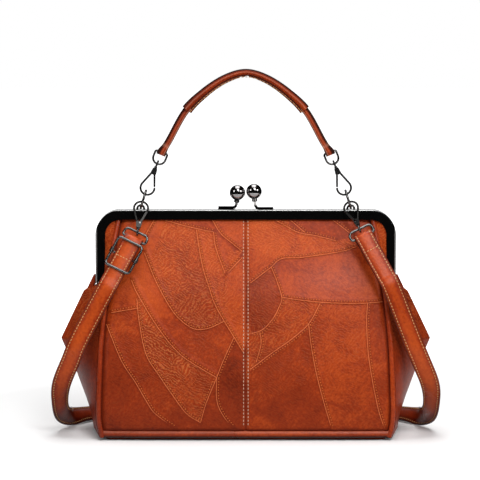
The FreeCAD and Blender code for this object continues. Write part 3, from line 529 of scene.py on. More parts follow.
# lapped patch seams on the front: across and up in mm, with the raised side to the left of the line
patchSeams = {
    "left": [
        [(-88, 159), (-78, 136), (-66, 115), (-57, 104), (-45, 96), (-33, 96), (-19, 102)],
        [(-99, 136), (-93, 124), (-75, 96), (-57, 75), (-39, 63), (-25, 55)],
        [(-94, 121), (-92, 103), (-86, 75), (-74, 56), (-63, 40), (-51, 24), (-39, 16)],
        [(-39, 16), (-34, 33), (-25, 55)],
        [(-10, 89), (-19, 70), (-25, 55)],
        [(-25, 55), (-25, 36), (-20, 23), (-10, 10)],
        [(-120, 99), (-107, 69), (-95, 51), (-85, 34), (-78, 24), (-61, 11)],
        [(-116, 109), (-93, 113)],
        [(-43, 178), (-38, 150), (-32, 131), (-25, 113), (-9, 87), (-2, 76)],
        [(-70, 186), (-52, 181), (-28, 176)],
        [(-28, 176), (-26, 163), (-18, 142)],
        [(-29, 186), (-22, 175), (-12, 167), (-3, 160)],
        [(-15, 143), (-3, 155)],
        [(-80, 186), (-87, 174)],
    ],
    "right": [
        [(4, 134), (22, 147)],
        [(22, 147), (27, 135), (31, 122), (29, 115), (23, 104), (14, 95), (5, 92)],
        [(31, 122), (64, 118), (99, 117), (118, 118)],
        [(64, 117), (54, 100), (39, 87), (23, 76), (4, 62)],
        [(54, 100), (56, 83), (60, 61), (66, 37), (74, 10)],
        [(105, 117), (104, 100), (106, 69), (113, 31), (119, 11)],
        [(12, 93), (13, 83), (9, 68)],
        [(26, 186), (45, 176), (61, 173), (78, 169)],
        [(39, 186), (51, 176)],
        [(76, 186), (92, 174)],
        [(22, 147), (31, 154), (48, 155), (83, 160), (96, 164)],
    ],
}

# a place inside each patch: across, up, tone and how crumpled its leather is
patchTones = {
    "left": [
        (-100, 165, 0.10, 0.1), (-62, 150, 0.05, 0.7), (-35, 182, -0.1, 0.1), (-24, 130, 0.3, 0.6),
        (-12, 175, 0.15, 0.2), (-70, 92, 0.05, 0.1), (-35, 80, 0.0, 0.2), (-70, 65, 0.12, 1.0),
        (-104, 118, 0.1, 0.1), (-108, 85, -0.05, 0.2), (-105, 30, -0.15, 0.1), (-80, 50, -0.05, 0.2),
        (-45, 35, 0.05, 0.6), (-35, 14, -0.2, 0.1), (-12, 45, -0.3, 0.1), (-8, 130, 0.3, 0.3),
    ],
    "right": [
        (20, 170, 0.35, 0.5), (60, 182, -0.1, 0.1), (60, 166, 0.25, 0.5), (70, 140, 0.05, 0.1),
        (14, 118, -0.08, 0.3), (10, 148, 0.2, 0.3), (45, 110, 0.05, 0.5), (8, 80, 0.1, 0.6),
        (30, 55, -0.1, 0.2), (40, 30, -0.25, 0.1), (80, 95, 0.0, 0.3), (85, 40, -0.1, 0.2), (113, 80, -0.1, 0.2),
    ],
}
patchLook = {
    "columns": 118, "rows": 176, "lineStep": 3, "fineStep": 1.5, "normalStep": 0.6,
    "lap": 0.38, "lapRise": (-0.8, 0.6), "lapFade": (2.5, 6),
    "edge": 0.26, "edgeLift": 0.05, "stitchInset": 1.8, "crossingCost": 1000,
    "seamAt": -0.5, "seamFade": (0.2, 1.4), "seamShade": 0.3, "stitchFade": (0.3, 1.1), "stitchShade": 0.45,
    "centreDip": 1.1, "centreFade": (0.2, 2.2), "rowDip": 0.18, "rowFade": (0.3, 1.2),
    "centreShade": 0.7, "centreShadeFade": (0.2, 1.0),
    "baseInset": 3.2, "grooveFade": (0.3, 5), "grooveShade": (0.5, 2.0),
    "sheen": (72, 138, 30, 17, 0.3),  # across, up, reach across, reach up and strength
}
patchStitch = {"pitch": 2.4, "length": 1.4, "width": 0.95, "lift": 0.03}
centreStitch = {"pitch": 3.1, "length": 2.1, "width": 0.95, "lift": 0.14}
centreRows = 2.0  # the two rows beside the centre seam
centreFrom, centreOver = 3, 1  # above the panel's low edge and past the frame's rail
farAway = 1e9


def seamDistance(line, across, up):
    # signed distance to a line of points, positive on its left
    best = np.full(across.shape, farAway)
    side = np.ones(across.shape)
    for start, end in zip(line, line[1:]):
        run = end - start
        share = np.clip(((across - start[0]) * run[0] + (up - start[1]) * run[1]) / (run @ run), 0, 1)
        offX = across - start[0] - share * run[0]
        offZ = up - start[1] - share * run[1]
        far = np.hypot(offX, offZ)
        nearer = far < best
        best = np.where(nearer, far, best)
        side = np.where(nearer, np.sign(run[0] * offZ - run[1] * offX), side)
    return best * np.where(side == 0, 1, side)


def patchTone(half, lines, across, up):
    # each point takes the tone of the patch place that it reaches over the fewest seams
    score = np.full(across.shape, farAway)
    tone = np.zeros(across.shape)
    crumple = np.zeros(across.shape)
    for placeX, placeZ, value, crumpled in patchTones[half]:
        crossed = np.zeros(across.shape)
        for line in lines:
            for (ax, az), (bx, bz) in zip(line, line[1:]):
                sideA = (placeX - across) * (az - up) - (placeZ - up) * (ax - across)
                sideB = (placeX - across) * (bz - up) - (placeZ - up) * (bx - across)
                sideP = (bx - ax) * (up - az) - (bz - az) * (across - ax)
                sideQ = (bx - ax) * (placeZ - az) - (bz - az) * (placeX - ax)
                crossed += (sideA * sideB < 0) & (sideP * sideQ < 0)
        total = crossed * patchLook["crossingCost"] + np.hypot(placeX - across, placeZ - up)
        nearer = total < score
        score = np.where(nearer, total, score)
        tone = np.where(nearer, value, tone)
        crumple = np.where(nearer, crumpled, crumple)
    return tone, crumple


def lapRelief(lines, across, up):
    # height of the lapped patch edges, and how near each point is to a seam, which also holds painted shade in
    # the groove beside the side and base piping
    look = patchLook
    height = np.zeros(across.shape)
    near = np.zeros(across.shape)
    for line in lines:
        gap = seamDistance(line, across, up)
        lap = look["lap"] * between(*look["lapRise"], gap) * fade(*look["lapFade"], gap)
        height = np.maximum(height, lap)
        seam = look["seamShade"] * fade(*look["seamFade"], np.abs(gap - look["seamAt"]))
        stitched = look["stitchShade"] * fade(*look["stitchFade"], np.abs(gap - look["stitchInset"]))
        near = np.maximum(near, np.maximum(seam, stitched))
    centre = np.abs(across)
    rows = look["rowDip"] * fade(*look["rowFade"], np.abs(centre - centreRows))
    height = height - look["centreDip"] * fade(*look["centreFade"], centre) - rows
    near = np.maximum(near, look["centreShade"] * fade(*look["centreShadeFade"], centre))
    # painted shade in the groove beside the side piping and above the base piping
    above = up - bagShape["basePipingHeight"] - look["baseInset"]
    inset = np.minimum(bagWidth(up) - bagShape["piping"] - centre, above)
    height = height - bagShape["groove"] * fade(*look["grooveFade"], inset)
    return height, np.maximum(near, fade(*look["grooveShade"], inset))


def frontPlaces(lines, across, up):
    relief = lapRelief(lines, across, up)[0]
    return np.stack([across, -panelDepth(across, up) - relief, up], axis=1)


def frontNormals(lines, across, up):
    step = patchLook["normalStep"]
    middle = frontPlaces(lines, across, up)
    aside = frontPlaces(lines, across + step, up) - middle
    above = frontPlaces(lines, across, up + step) - middle
    normals = np.cross(aside, above)
    return middle, normals / np.linalg.norm(normals, axis=1)[:, None]


def frontPanel(side):
    half = sideNames[side]
    lines = [smoothLine(points, patchLook["lineStep"]) for points in patchSeams[half]]
    columns, rows = patchLook["columns"], patchLook["rows"]
    heights = np.linspace(bagShape["bottom"], bagShape["top"], rows + 1)
    edges = bagWidth(heights) - bagShape["lap"]
    shares = np.linspace(-1, 0, columns + 1) if side < 0 else np.linspace(0, 1, columns + 1)
    across = shares[None, :] * edges[:, None]
    up = np.repeat(heights[:, None], columns + 1, axis=1)
    places = frontPlaces(lines, across.ravel(), up.ravel()).reshape(rows + 1, columns + 1, 3) * mm
    bm = bmesh.new()
    weave(bm, columns, rows, lambda column, row: places[row][column])
    thicken(bm, bagShape["leather"] * mm)
    made = piece("frontPanel" + half.title(), bm, panelLeather, ["front_panel_" + half])
    where = vertexPlaces(made)
    tone, crumple = patchTone(half, [line[::2] for line in lines], where[:, 0], where[:, 2])
    mark(made, "tone", tone)
    mark(made, "crumple", crumple)
    # dark seam lines, with painted shade in the grooves by the piping
    mark(made, "seam", lapRelief(lines, where[:, 0], where[:, 2])[1])
    sheenX, sheenZ, reachX, reachZ, strength = patchLook["sheen"]
    away = ((where[:, 0] - sheenX) / reachX) ** 2 + ((where[:, 2] - sheenZ) / reachZ) ** 2
    mark(made, "sheen", strength * np.exp(-away))
    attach(made, "bag")
    cords = []
    thread = bmesh.new()
    for line in lines:
        fine = smoothLine(line, patchLook["fineStep"])
        spots, normals = frontNormals(lines, fine[:, 0], fine[:, 1])
        cords.append(spots + normals * patchLook["edgeLift"])
        heading = headings(fine)
        inset = fine + np.stack([-heading[:, 1], heading[:, 0]], axis=1) * patchLook["stitchInset"]
        spots, normals = frontNormals(lines, inset[:, 0], inset[:, 1])
        stitchRow(thread, spots, normals, patchStitch)
    raised = tubes("patchEdges" + half.title(), cords, patchLook["edge"], edgeHighlightLeather)
    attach(raised, "bag")
    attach(piece("patchStitches" + half.title(), thread, rustThread), "bag")
    row = np.arange(bagShape["bottom"] + centreFrom, bagShape["rail"] + centreOver, patchLook["fineStep"])
    spots, normals = frontNormals(lines, np.full(row.shape, side * centreRows), row)
    thread = bmesh.new()
    stitchRow(thread, spots, normals, centreStitch)
    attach(piece("centreStitches" + half.title(), thread, creamThread), "bag")


def followOpening(made):
    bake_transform(made)


def holdFace(made, face):
    # the front is attached to the bag, and the rear keeps its place with its transform baked
    if face < 0:
        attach(made, "bag")
    else:
        followOpening(made)


rearLook = {
    "columns": 120, "rows": 110, "tone": -0.05, "cloud": 0.1, "cloudHeight": 60,
    "crumple": 0.15, "crumpleRise": (90, 130),
}


def rearPanel():
    columns, rows = rearLook["columns"], rearLook["rows"]
    heights = np.linspace(bagShape["bottom"], bagShape["top"], rows + 1)

    def place(column, row):
        height = heights[row]
        x = (1 - 2 * column / columns) * (bagWidth(height) - bagShape["lap"])
        return Vector((x, panelDepth(x, height), height)) * mm

    bm = bmesh.new()
    weave(bm, columns, rows, place)
    thicken(bm, bagShape["leather"] * mm)
    nodes = ["rear_panel_lower", "rear_panel_fold", "rear_panel_upper"]
    made = piece("rearPanel", bm, panelLeather, nodes)
    where = vertexPlaces(made)
    mark(made, "tone", rearLook["tone"] + rearLook["cloud"] * np.sin(where[:, 2] / rearLook["cloudHeight"]))
    mark(made, "crumple", rearLook["crumple"] * between(*rearLook["crumpleRise"], where[:, 2]))
    followOpening(made)


pipingLook = {
    "low": 3, "over": 1, "steps": 80, "baseSteps": 60, "proud": 0.9, "baseProud": 1.2, "round": 3,
    # painted shade under the base cord and a painted highlight line along its top
    "dark": 0.97, "undersideShadeFade": (2.6, 5.2), "pale": 0.18, "topHighlightStripe": (7.8, 1.2),
}


def sidePiping(face):
    # cord in both side seams, and the thicker cord along the base
    look = pipingLook
    heights = np.linspace(look["low"], bagShape["rail"] + look["over"], look["steps"])
    lines = []
    for side in (-1, 1):
        depth = face * (bagDepth(heights) - bagShape["piping"] + look["proud"])
        lines.append(np.stack([side * bagWidth(heights), depth, heights], axis=1))
    base = bagShape["basePipingHeight"]
    reach = np.linspace(-bagWidth(base), bagWidth(base), look["baseSteps"])
    depth = face * (panelDepth(reach, base) - bagShape["basePiping"] + look["baseProud"])
    bottom = [np.stack([reach, depth, np.full(reach.shape, base)], axis=1)]
    name = "front" if face < 0 else "rear"
    nodes = ["front_piping"] if face < 0 else ["rear_piping_lower", "rear_piping_fold", "rear_piping_upper"]
    made = tubes(name + "Piping", lines, bagShape["piping"], trimLeather, nodes, look["round"])
    holdFace(made, face)
    made = tubes(
        name + "BasePiping", bottom, bagShape["basePiping"], trimLeather, (), look["round"])
    height = vertexPlaces(made)[:, 2]
    # painted shade on the cord's underside, painted highlight along its top
    mark(made, "rim", look["dark"] * fade(*look["undersideShadeFade"], height))
    mark(made, "pale", look["pale"] * stripe(height, *look["topHighlightStripe"]))
    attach(made, "bag")


def legPocket(height):
    # middle of the frame's pocket beside the leg and its rounded corner
    over = max(height - bagShape["cornerHeight"], 0)
    radius = bagShape["legMiddle"] - bagShape["cornerMiddle"]
    return bagShape["cornerMiddle"] + math.sqrt(max(radius ** 2 - over ** 2, 0))


gussetLook = {
    "columns": 28, "rows": 110, "low": 2.7, "over": 2, "seamOut": 0.9, "seamIn": 3.3,
    "belly": 2.0, "bellyOut": 0.8, "bellyDeep": 0.5, "bellyRise": (5, 30), "bellyFade": (100, 122),
    "bendIn": 5.2, "bendDepth": 5.4, "bendShare": 0.75, "pocketDepth": 4.9, "hinge": (122, 132),
    "crumple": 0.5, "crumpleRise": (60, 120),
    "tone": -0.1, "middleTone": 0.15, "middleRise": (20, 90), "topTone": 0.5, "topRise": (130, 160),
}


def gussetPlace(side, face, share, height):
    # from the side seam to the outward fold, and above the hinge into the frame's pocket
    look = gussetLook
    seamX, seamY = bagWidth(height) + look["seamOut"], bagDepth(height) - look["seamIn"]
    seam = Vector((side * seamX, face * seamY, height))
    tip = Vector((side * foldReach(height), 0, height))
    low = seam.lerp(tip, share)
    belly = math.sin(math.pi * share) * look["belly"]
    belly = belly * between(*look["bellyRise"], height) * fade(*look["bellyFade"], height)
    low += Vector((side * belly * look["bellyOut"], face * belly * look["bellyDeep"], 0))
    pocket = legPocket(height)
    bend = Vector((side * (pocket - look["bendIn"]), face * look["bendDepth"], height))
    turn = look["bendShare"]
    if share < turn:
        high = seam.lerp(bend, share / turn)
    else:
        inside = Vector((side * pocket, face * look["pocketDepth"], height))
        high = bend.lerp(inside, (share - turn) / (1 - turn))
    return low.lerp(high, float(between(*look["hinge"], height)))


def gusset(side, face):
    look = gussetLook
    columns, rows = look["columns"], look["rows"]
    heights = np.linspace(look["low"], bagShape["rail"] + look["over"], rows + 1)
    turned = side * face > 0

    def place(column, row):
        share = column / columns
        return gussetPlace(side, face, 1 - share if turned else share, heights[row]) * mm

    bm = bmesh.new()
    weave(bm, columns, rows, place)
    bmesh.ops.reverse_faces(bm, faces=bm.faces)
    thicken(bm, bagShape["leather"] * mm)
    sideName = sideNames[side]
    nodes = ["gusset_" + sideName + end for end in (("", "_front") if face < 0 else ("_fold", "_rear"))]
    name = "gusset" + sideName.title() + ("Front" if face < 0 else "Rear")
    made = piece(name, bm, gussetLeather, nodes)
    height = vertexPlaces(made)[:, 2]
    mark(made, "crumple", look["crumple"] * between(*look["crumpleRise"], height))
    middle = look["middleTone"] * between(*look["middleRise"], height)
    mark(made, "tone", look["tone"] + middle + look["topTone"] * between(*look["topRise"], height))
    holdFace(made, face)


earLook = {
    "columns": 16, "rows": 14, "low": 112, "top": 138, "near": 132.4,
    "tuck": 2.0, "tuckRise": (128.5, 130.3), "back": 0.75, "backRise": (134.5, 137.5),
    "inset": 0.3, "least": 0.6, "width": 10, "taper": 0.8, "tip": 0.7, "flat": 0.75,
}


def foldEar(side):
    # the folded leather that stands up outside the hinge
    look = earLook
    columns, rows = look["columns"], look["rows"]

    def place(column, row):
        share = row / rows
        height = look["low"] + share * (look["top"] - look["low"])
        turn = 2 * math.pi * column / columns
        # outside the rivet, then tucked in under the end of the frame's leg
        near = look["near"] - look["tuck"] * between(*look["tuckRise"], height)
        near += look["back"] * between(*look["backRise"], height)
        reach = max(foldReach(height) - look["inset"] - near, look["least"])
        thick = look["width"] * (1 - share) ** look["taper"] + look["tip"]
        flat = 0.5 + 0.5 * math.cos(turn)
        deep = thick * math.sin(turn) * (1 - look["flat"] * flat)
        return Vector((side * (near + reach * flat), deep, height)) * mm

    bm = bmesh.new()
    weave(bm, columns, rows, place, True)
    closeEnds(bm)
    made = piece("foldEar" + sideNames[side].title(), bm, gussetLeather)
    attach(made, "bag")


baseLook = {"sideInset": 3, "faceInset": 4, "corner": 4, "cornerSteps": 4, "rim": 0.8, "rimSteps": 2}


def flatEdges(bm, height):
    # edges that lie at one height in mm
    return [edge for edge in bm.edges if all(abs(vert.co.z - height * mm) < joinGap for vert in edge.verts)]


def basePanel():
    # leather base with its corners and rim rounded
    look = baseLook
    low, high = (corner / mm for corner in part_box("base_panel"))
    bm = bmesh.new()
    width, reach = bagWidth(0) - look["sideInset"], foldReach(0) - look["sideInset"]
    depth = bagDepth(0) - look["faceInset"]
    plan = [(-width, -depth), (width, -depth), (reach, 0), (width, depth), (-width, depth), (-reach, 0)]
    corners = [bm.verts.new(Vector((x, y, high.z)) * mm) for x, y in plan]
    bm.faces.new(corners)
    bmesh.ops.bevel(
        bm, geom=bm.verts[:], offset=look["corner"] * mm,
        segments=look["cornerSteps"], profile=0.5, affect="VERTICES", material=-1)
    grown = bmesh.ops.extrude_face_region(bm, geom=bm.faces[:])["geom"]
    drop = [item for item in grown if isinstance(item, bmesh.types.BMVert)]
    bmesh.ops.translate(bm, verts=drop, vec=(0, 0, (low.z - high.z) * mm))
    bmesh.ops.recalc_face_normals(bm, faces=bm.faces)
    bmesh.ops.bevel(
        bm, geom=flatEdges(bm, low.z), offset=look["rim"] * mm,
        segments=look["rimSteps"], profile=0.5, affect="EDGES", material=-1)
    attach(piece("basePanel", bm, gussetLeather, ["base_panel"]), "bag")


liningLook = {
    "low": 95, "columns": 40, "rows": 40, "gap": 1.3, "sideInset": 9, "cloth": 0.5,
    "floor": 5.3, "tubColumns": 48, "tubRows": 24, "tubInset": 6.4,
    "tubEnd": 1.4, "tubSide": 1.05, "tubSquare": 1.2, "tubCorner": 3,
}


def liningPanel(name, face, nodes):
    columns, rows = liningLook["columns"], liningLook["rows"]
    low, high = liningLook["low"], bagShape["top"]
    inset = bagShape["leather"] + liningLook["gap"]

    def place(column, row):
        height = low + (high - low) * row / rows
        x = -face * (2 * column / columns - 1) * (bagWidth(height) - liningLook["sideInset"])
        return Vector((x, face * (panelDepth(x, height) - inset), height)) * mm

    bm = bmesh.new()
    weave(bm, columns, rows, place)
    bmesh.ops.reverse_faces(bm, faces=bm.faces)
    thicken(bm, liningLook["cloth"] * mm)
    return piece(name, bm, liningCloth, nodes)


def liningTub():
    # open tub on the base board
    look = liningLook
    floor, rim, inset, square = look["floor"], look["low"], look["tubInset"], look["tubSquare"]
    columns, rows = look["tubColumns"], look["tubRows"]

    def place(column, row):
        height = floor + (rim - floor) * row / rows
        turn = 2 * math.pi * column / columns
        width = foldReach(height) - inset * look["tubEnd"]
        depth = bagDepth(height) - inset
        flat = squareReach(turn, look["tubCorner"])
        deep = depth * min(flat * look["tubSide"], square) * math.sin(turn) / square
        return Vector((width * flat * math.cos(turn), deep, height)) * mm

    bm = bmesh.new()
    weave(bm, columns, rows, place, True)
    bmesh.ops.holes_fill(bm, edges=flatEdges(bm, floor), sides=0)
    bmesh.ops.recalc_face_normals(bm, faces=bm.faces)
    bmesh.ops.reverse_faces(bm, faces=bm.faces)
    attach(piece("liningTub", bm, liningCloth, ["lining_tub"]), "bag")


for side in (-1, 1):
    frontPanel(side)
rearPanel()
for face in (-1, 1):
    sidePiping(face)
    for side in (-1, 1):
        gusset(side, face)
for side in (-1, 1):
    foldEar(side)
basePanel()
liningTub()
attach(liningPanel("liningFront", -1, ["lining_front"]), "bag")
liningRear = liningPanel("liningRear", 1, ["lining_rear_fold", "lining_rear_upper"])
followOpening(liningRear)
print("leather body and lining made")


# handle: right half of its middle line, across and up, mirrored to the left
handleLook = {
    "depth": -3.95,
    "line": [(73.0, 245.2), (66.6, 255.5), (52.7, 280.2), (36.9, 296.1), (18.4, 308.7), (0, 314)],
    "step": 2.2, "points": 40, "corner": 5, "width": 6.1, "thickness": 4.8, "lean": 22,
    "loopWidth": 8.2, "loopThick": 0.8, "loopFrom": 3, "loopLength": 12, "loopEnd": 2.6,
    "tipThin": 0.35, "tipLength": 2.5,
    "gripFrom": 52.6, "tuck": 4, "tuckWidth": 0.6, "tuckThick": 0.8,  # slimmer inside the grip
}
gripLook = {
    "section": [  # outward and deep, down the front half
        (4.3, 0), (3.9, 2.4), (2.6, 4.2), (0.9, 4.9), (-0.7, 4.3),
        (-1.7, 2.4), (-2.5, 1.5), (-4.1, 1.35), (-4.5, 0.5),
    ],
    "step": 0.55, "slim": 0.84, "swell": 0.26,
    "bunch": 12, "pucker": 0.7, "puckerTurn": 0.9, "puckerRise": (1.5, 2.5),
    "stitchInset": 3.4, "stitchDepth": 1.4,
}
# stripes along the leather: strength, place and width, in shares of half its width, or in mm from its end
# dark edges are partly dyed edge and partly painted shade on the rounded sides, the grip's dark stripe is painted
# shade in its groove, the pale stripes are painted highlight lines and pale edge lines, and tone is a painted
# highlight streak down the middle
handleBands = {
    "strap": {
        "upperEdge": (0.15, 0.6), "lowerEdge": (0.76, 0.95), "dark": [],
        "pale": [(0.1, 0.05, 0.25), (0.4, -0.72, 0.2)], "paleEnds": [(0.25, 11, 1.6)],
        "tone": [(0.35, -0.1, 0.45)],
    },
    "grip": {
        "upperEdge": (0.48, 0.8), "lowerEdge": (0.86, 1.0), "dark": [(0.9, -0.56, 0.18)],
        "pale": [(0.25, 0.3, 0.14), (0.3, -0.75, 0.12)], "paleEnds": [], "tone": [(0.4, 0.0, 0.5)],
    },
    "lowerDark": 0.95,
}
handleStitch = {"pitch": 3.2, "length": 2.4, "width": 0.7, "lift": 0.05}


def handleLine():
    right = handleLook["line"]
    lean = math.radians(handleLook["lean"])
    end = handleLook["loopEnd"]
    tail = (right[0][0] + end * math.sin(lean), right[0][1] - end * math.cos(lean))
    right = [tail] + right
    points = [(-x, z) for x, z in right] + right[-2::-1]
    return smoothLine(points, handleLook["step"])


def sweepRing(line, ring):
    # rings of (outward, deep) points carried along the handle's line
    runs = headings(line)

    def place(column, row):
        outward, deep = ring(row)[column]
        normal = (-runs[row][1], runs[row][0])
        x, z = line[row][0] + normal[0] * outward, line[row][1] + normal[1] * outward
        return Vector((x, handleLook["depth"] + deep, z)) * mm

    return place


def roundedRing(width, thickness):
    # points round a soft-cornered oblong
    ring = []
    for step in range(handleLook["points"]):
        turn = 2 * math.pi * (step + 0.5) / handleLook["points"]
        flat = squareReach(turn, handleLook["corner"])
        ring.append((width / 2 * flat * math.cos(turn), thickness / 2 * flat * math.sin(turn)))
    return ring


def stripes(value, rows):
    return sum(strength * stripe(value, middle, width) for strength, middle, width in rows)


def handleMarks(made, line, halfWidth, bands):
    # share is how far outward each vertex is, and end its distance from the nearer end
    where = vertexPlaces(made)
    offX = where[:, None, 0] - line[None, :, 0]
    offZ = where[:, None, 2] - line[None, :, 1]
    nearest = np.hypot(offX, offZ).argmin(axis=1)
    runs = headings(line)[nearest]
    pick = np.arange(len(where))
    outward = offZ[pick, nearest] * runs[:, 0] - offX[pick, nearest] * runs[:, 1]
    share = outward / halfWidth(where[:, 0])
    end = handleEnds(line)[nearest]
    # rim darkens the edges with edge dye and painted shade, pale paints highlight lines and pale edge lines, and
    # tone paints a highlight streak
    dark = between(*bands["upperEdge"], share) + stripes(share, bands["dark"])
    dark = dark + handleBands["lowerDark"] * between(*bands["lowerEdge"], -share)
    mark(made, "rim", np.clip(dark, 0, 1))
    mark(made, "pale", stripes(share, bands["pale"]) + stripes(end, bands["paleEnds"]))
    mark(made, "tone", stripes(share, bands["tone"]))


def handleEnds(line):
    # distance of each of the line's points from the nearer end
    rows = np.arange(len(line))
    return np.minimum(rows, rows[::-1]) * handleLook["step"]


def gripSize(x):
    # the grip is slimmer at the top of the handle
    return gripLook["slim"] + gripLook["swell"] * (x / handleLook["gripFrom"]) ** 2


def handleStrap(line):
    look = handleLook
    ends = handleEnds(line)

    def ring(row):
        flare = fade(look["loopFrom"], look["loopLength"], ends[row])
        tip = 1 - look["tipThin"] * fade(0, look["tipLength"], ends[row])
        width = look["width"] + flare * (look["loopWidth"] - look["width"])
        thick = (look["thickness"] + flare * look["loopThick"]) * tip
        if abs(line[row][0]) < look["gripFrom"] - look["tuck"]:
            return roundedRing(width * look["tuckWidth"], thick * look["tuckThick"])
        return roundedRing(width, thick)

    bm = bmesh.new()
    weave(bm, look["points"], len(line) - 1, sweepRing(line, ring), True)
    closeEnds(bm)
    strap = piece("handleStrap", bm, handleLeather, ["handle_strap"])
    handleMarks(strap, line, lambda x: look["width"] / 2, handleBands["strap"])
    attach(strap, "handle")


def handleGrip(line):
    look = gripLook
    gripRows = [row for row in range(len(line)) if abs(line[row][0]) <= handleLook["gripFrom"]]
    gripLine = line[gripRows[0]:gripRows[-1] + 1]
    front = [tuple(point) for point in smoothLine(look["section"], look["step"])]
    section = front + [(outward, -deep) for outward, deep in front[::-1] if deep > 0]

    def ring(row):
        x = gripLine[row][0]
        bunch = max(0, 1 - abs(x) / look["bunch"])
        lift = look["pucker"] * bunch * math.sin(x * look["puckerTurn"]) + bunch
        full = gripSize(x)
        return [
            (outward * full + lift * between(*look["puckerRise"], -outward), deep) for outward, deep in section
        ]

    bm = bmesh.new()
    weave(bm, len(section), len(gripLine) - 1, sweepRing(gripLine, ring), True)
    closeEnds(bm)
    grip = piece("handleGrip", bm, handleLeather, ["handle_grip"])
    handleMarks(grip, line, lambda x: look["section"][0][0] * gripSize(x), handleBands["grip"])
    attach(grip, "handle")
    runs = headings(gripLine)
    inset = look["stitchInset"]
    deep = np.full(len(gripLine), handleLook["depth"] - look["stitchDepth"])
    spots = np.stack([gripLine[:, 0] + runs[:, 1] * inset, deep, gripLine[:, 1] - runs[:, 0] * inset], axis=1)
    thread = bmesh.new()
    stitchRow(thread, spots, np.tile((0.0, -1.0, 0.0), (len(spots), 1)), handleStitch)
    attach(piece("handleStitches", thread, strapThread), "handle")


middleLine = handleLine()
handleStrap(middleLine)
handleGrip(middleLine)
print("handle made")


# shoulder strap: places and the direction across it, from the left run's end round the back
strapLook = {
    "width": 16.5, "thickness": 1.9, "layer": 2.15, "bend": 0.7, "bendEnd": 0.5,
    "loopHeight": 7.2, "step": 3.0, "searchParts": 40,
    "run": (6, 50, 7),  # from, to and how many
    "way": (0.46, -0.33, -0.83), "across": (-0.87, -0.20, -0.45),
    "stitchInset": 2.0, "stitchEnds": 8,
    "crossStitch": 14, "crossStitchLeft": 19, "crossSteps": 9, "crossLift": 1.25,
    # tone paints a highlight band down the strap's middle
    "rim": 0.85, "rimRise": (0.84, 1.0), "tone": 0.4, "highlightFade": (0.2, 0.65),
    "floorTone": 0.9, "floorFade": (8, 26),
    # the end folded back at each loop, along the run and out from it, and its last places one layer behind
    "backs": {-1: [], 1: [(24, 0.3), (16, 0.3), (9, 0.3), (5, -0.9)]},
    "backEnds": {-1: [2.5, 0], 1: [1.5]},
    "left": [
        (-143.0, -47.5, 87.0, 0.90, -0.15, -0.42), (-150.5, -45.5, 69.0, 0.92, -0.05, -0.36),
        (-159.0, -38.0, 48.0, 0.93, 0.22, -0.20), (-161.5, -25.0, 32.0, 0.86, 0.41, 0.31),
        (-161.0, -8.0, 17.4, 0.68, 0.55, 0.48), (-156.5, 15.0, 9.8, 0.35, 0.78, 0.50),
        (-147.0, 40.0, 7.2, -0.20, 0.84, 0.50), (-125.0, 66.0, 5.6, -0.35, 0.79, 0.50),
        (-82.0, 84.0, 5.6, -0.20, 0.84, 0.50), (-30.0, 91.0, 5.6, -0.08, 0.86, 0.50),
    ],
}
strapStitch = {"pitch": 2.8, "length": 2.0, "width": 0.8, "lift": 0.1}


def strapRun(side):
    # start, way, across and facing of the straight run at one end
    low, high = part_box("strap_loop_" + sideNames[side])
    way = Vector((side, 1, 1)) * Vector(strapLook["way"])
    way.normalize()
    across = Vector((side, 1, 1)) * Vector(strapLook["across"])
    across = (across - way * across.dot(way)).normalized()
    start = (low + high) / (2 * mm) + way * strapLook["loopHeight"] / 2
    return start, way, across, across.cross(way).normalized() * side


def strapStations():
    rows = []
    for side in (-1, 1):
        start, way, across, facing = strapRun(side)
        fold = strapLook["layer"]
        bend = fold * strapLook["bend"]
        back = strapLook["backs"][side] + [(along, -fold) for along in strapLook["backEnds"][side]]
        turns = [(-bend, -bend), (-fold, 0), (-bend, bend), (strapLook["bendEnd"], fold)]
        run = [(along, fold) for along in np.linspace(*strapLook["run"])]
        end = [(*(start + way * along + facing * out), *across) for along, out in back + turns + run]
        if side < 0:
            rows += end + strapLook["left"]
            mirror = [(-x, y, z, -a, b, c) for x, y, z, a, b, c in strapLook["left"]]
            rows += mirror[::-1]
        else:
            rows += end[::-1]
    return smoothLine(rows, strapLook["step"])


strapProfile = [  # across and out, in shares of half the width and half the thickness
    (-1, 0.45), (-0.93, 1), (-0.78, 0.85), (-0.7, 0.72), (-0.6, 1.0), (-0.25, 1.3),
    (0.25, 1.3), (0.6, 1.0), (0.7, 0.72), (0.78, 0.85), (0.93, 1), (1, 0.45),
    (1, -0.45), (0.93, -1), (-0.93, -1), (-1, -0.45),
]


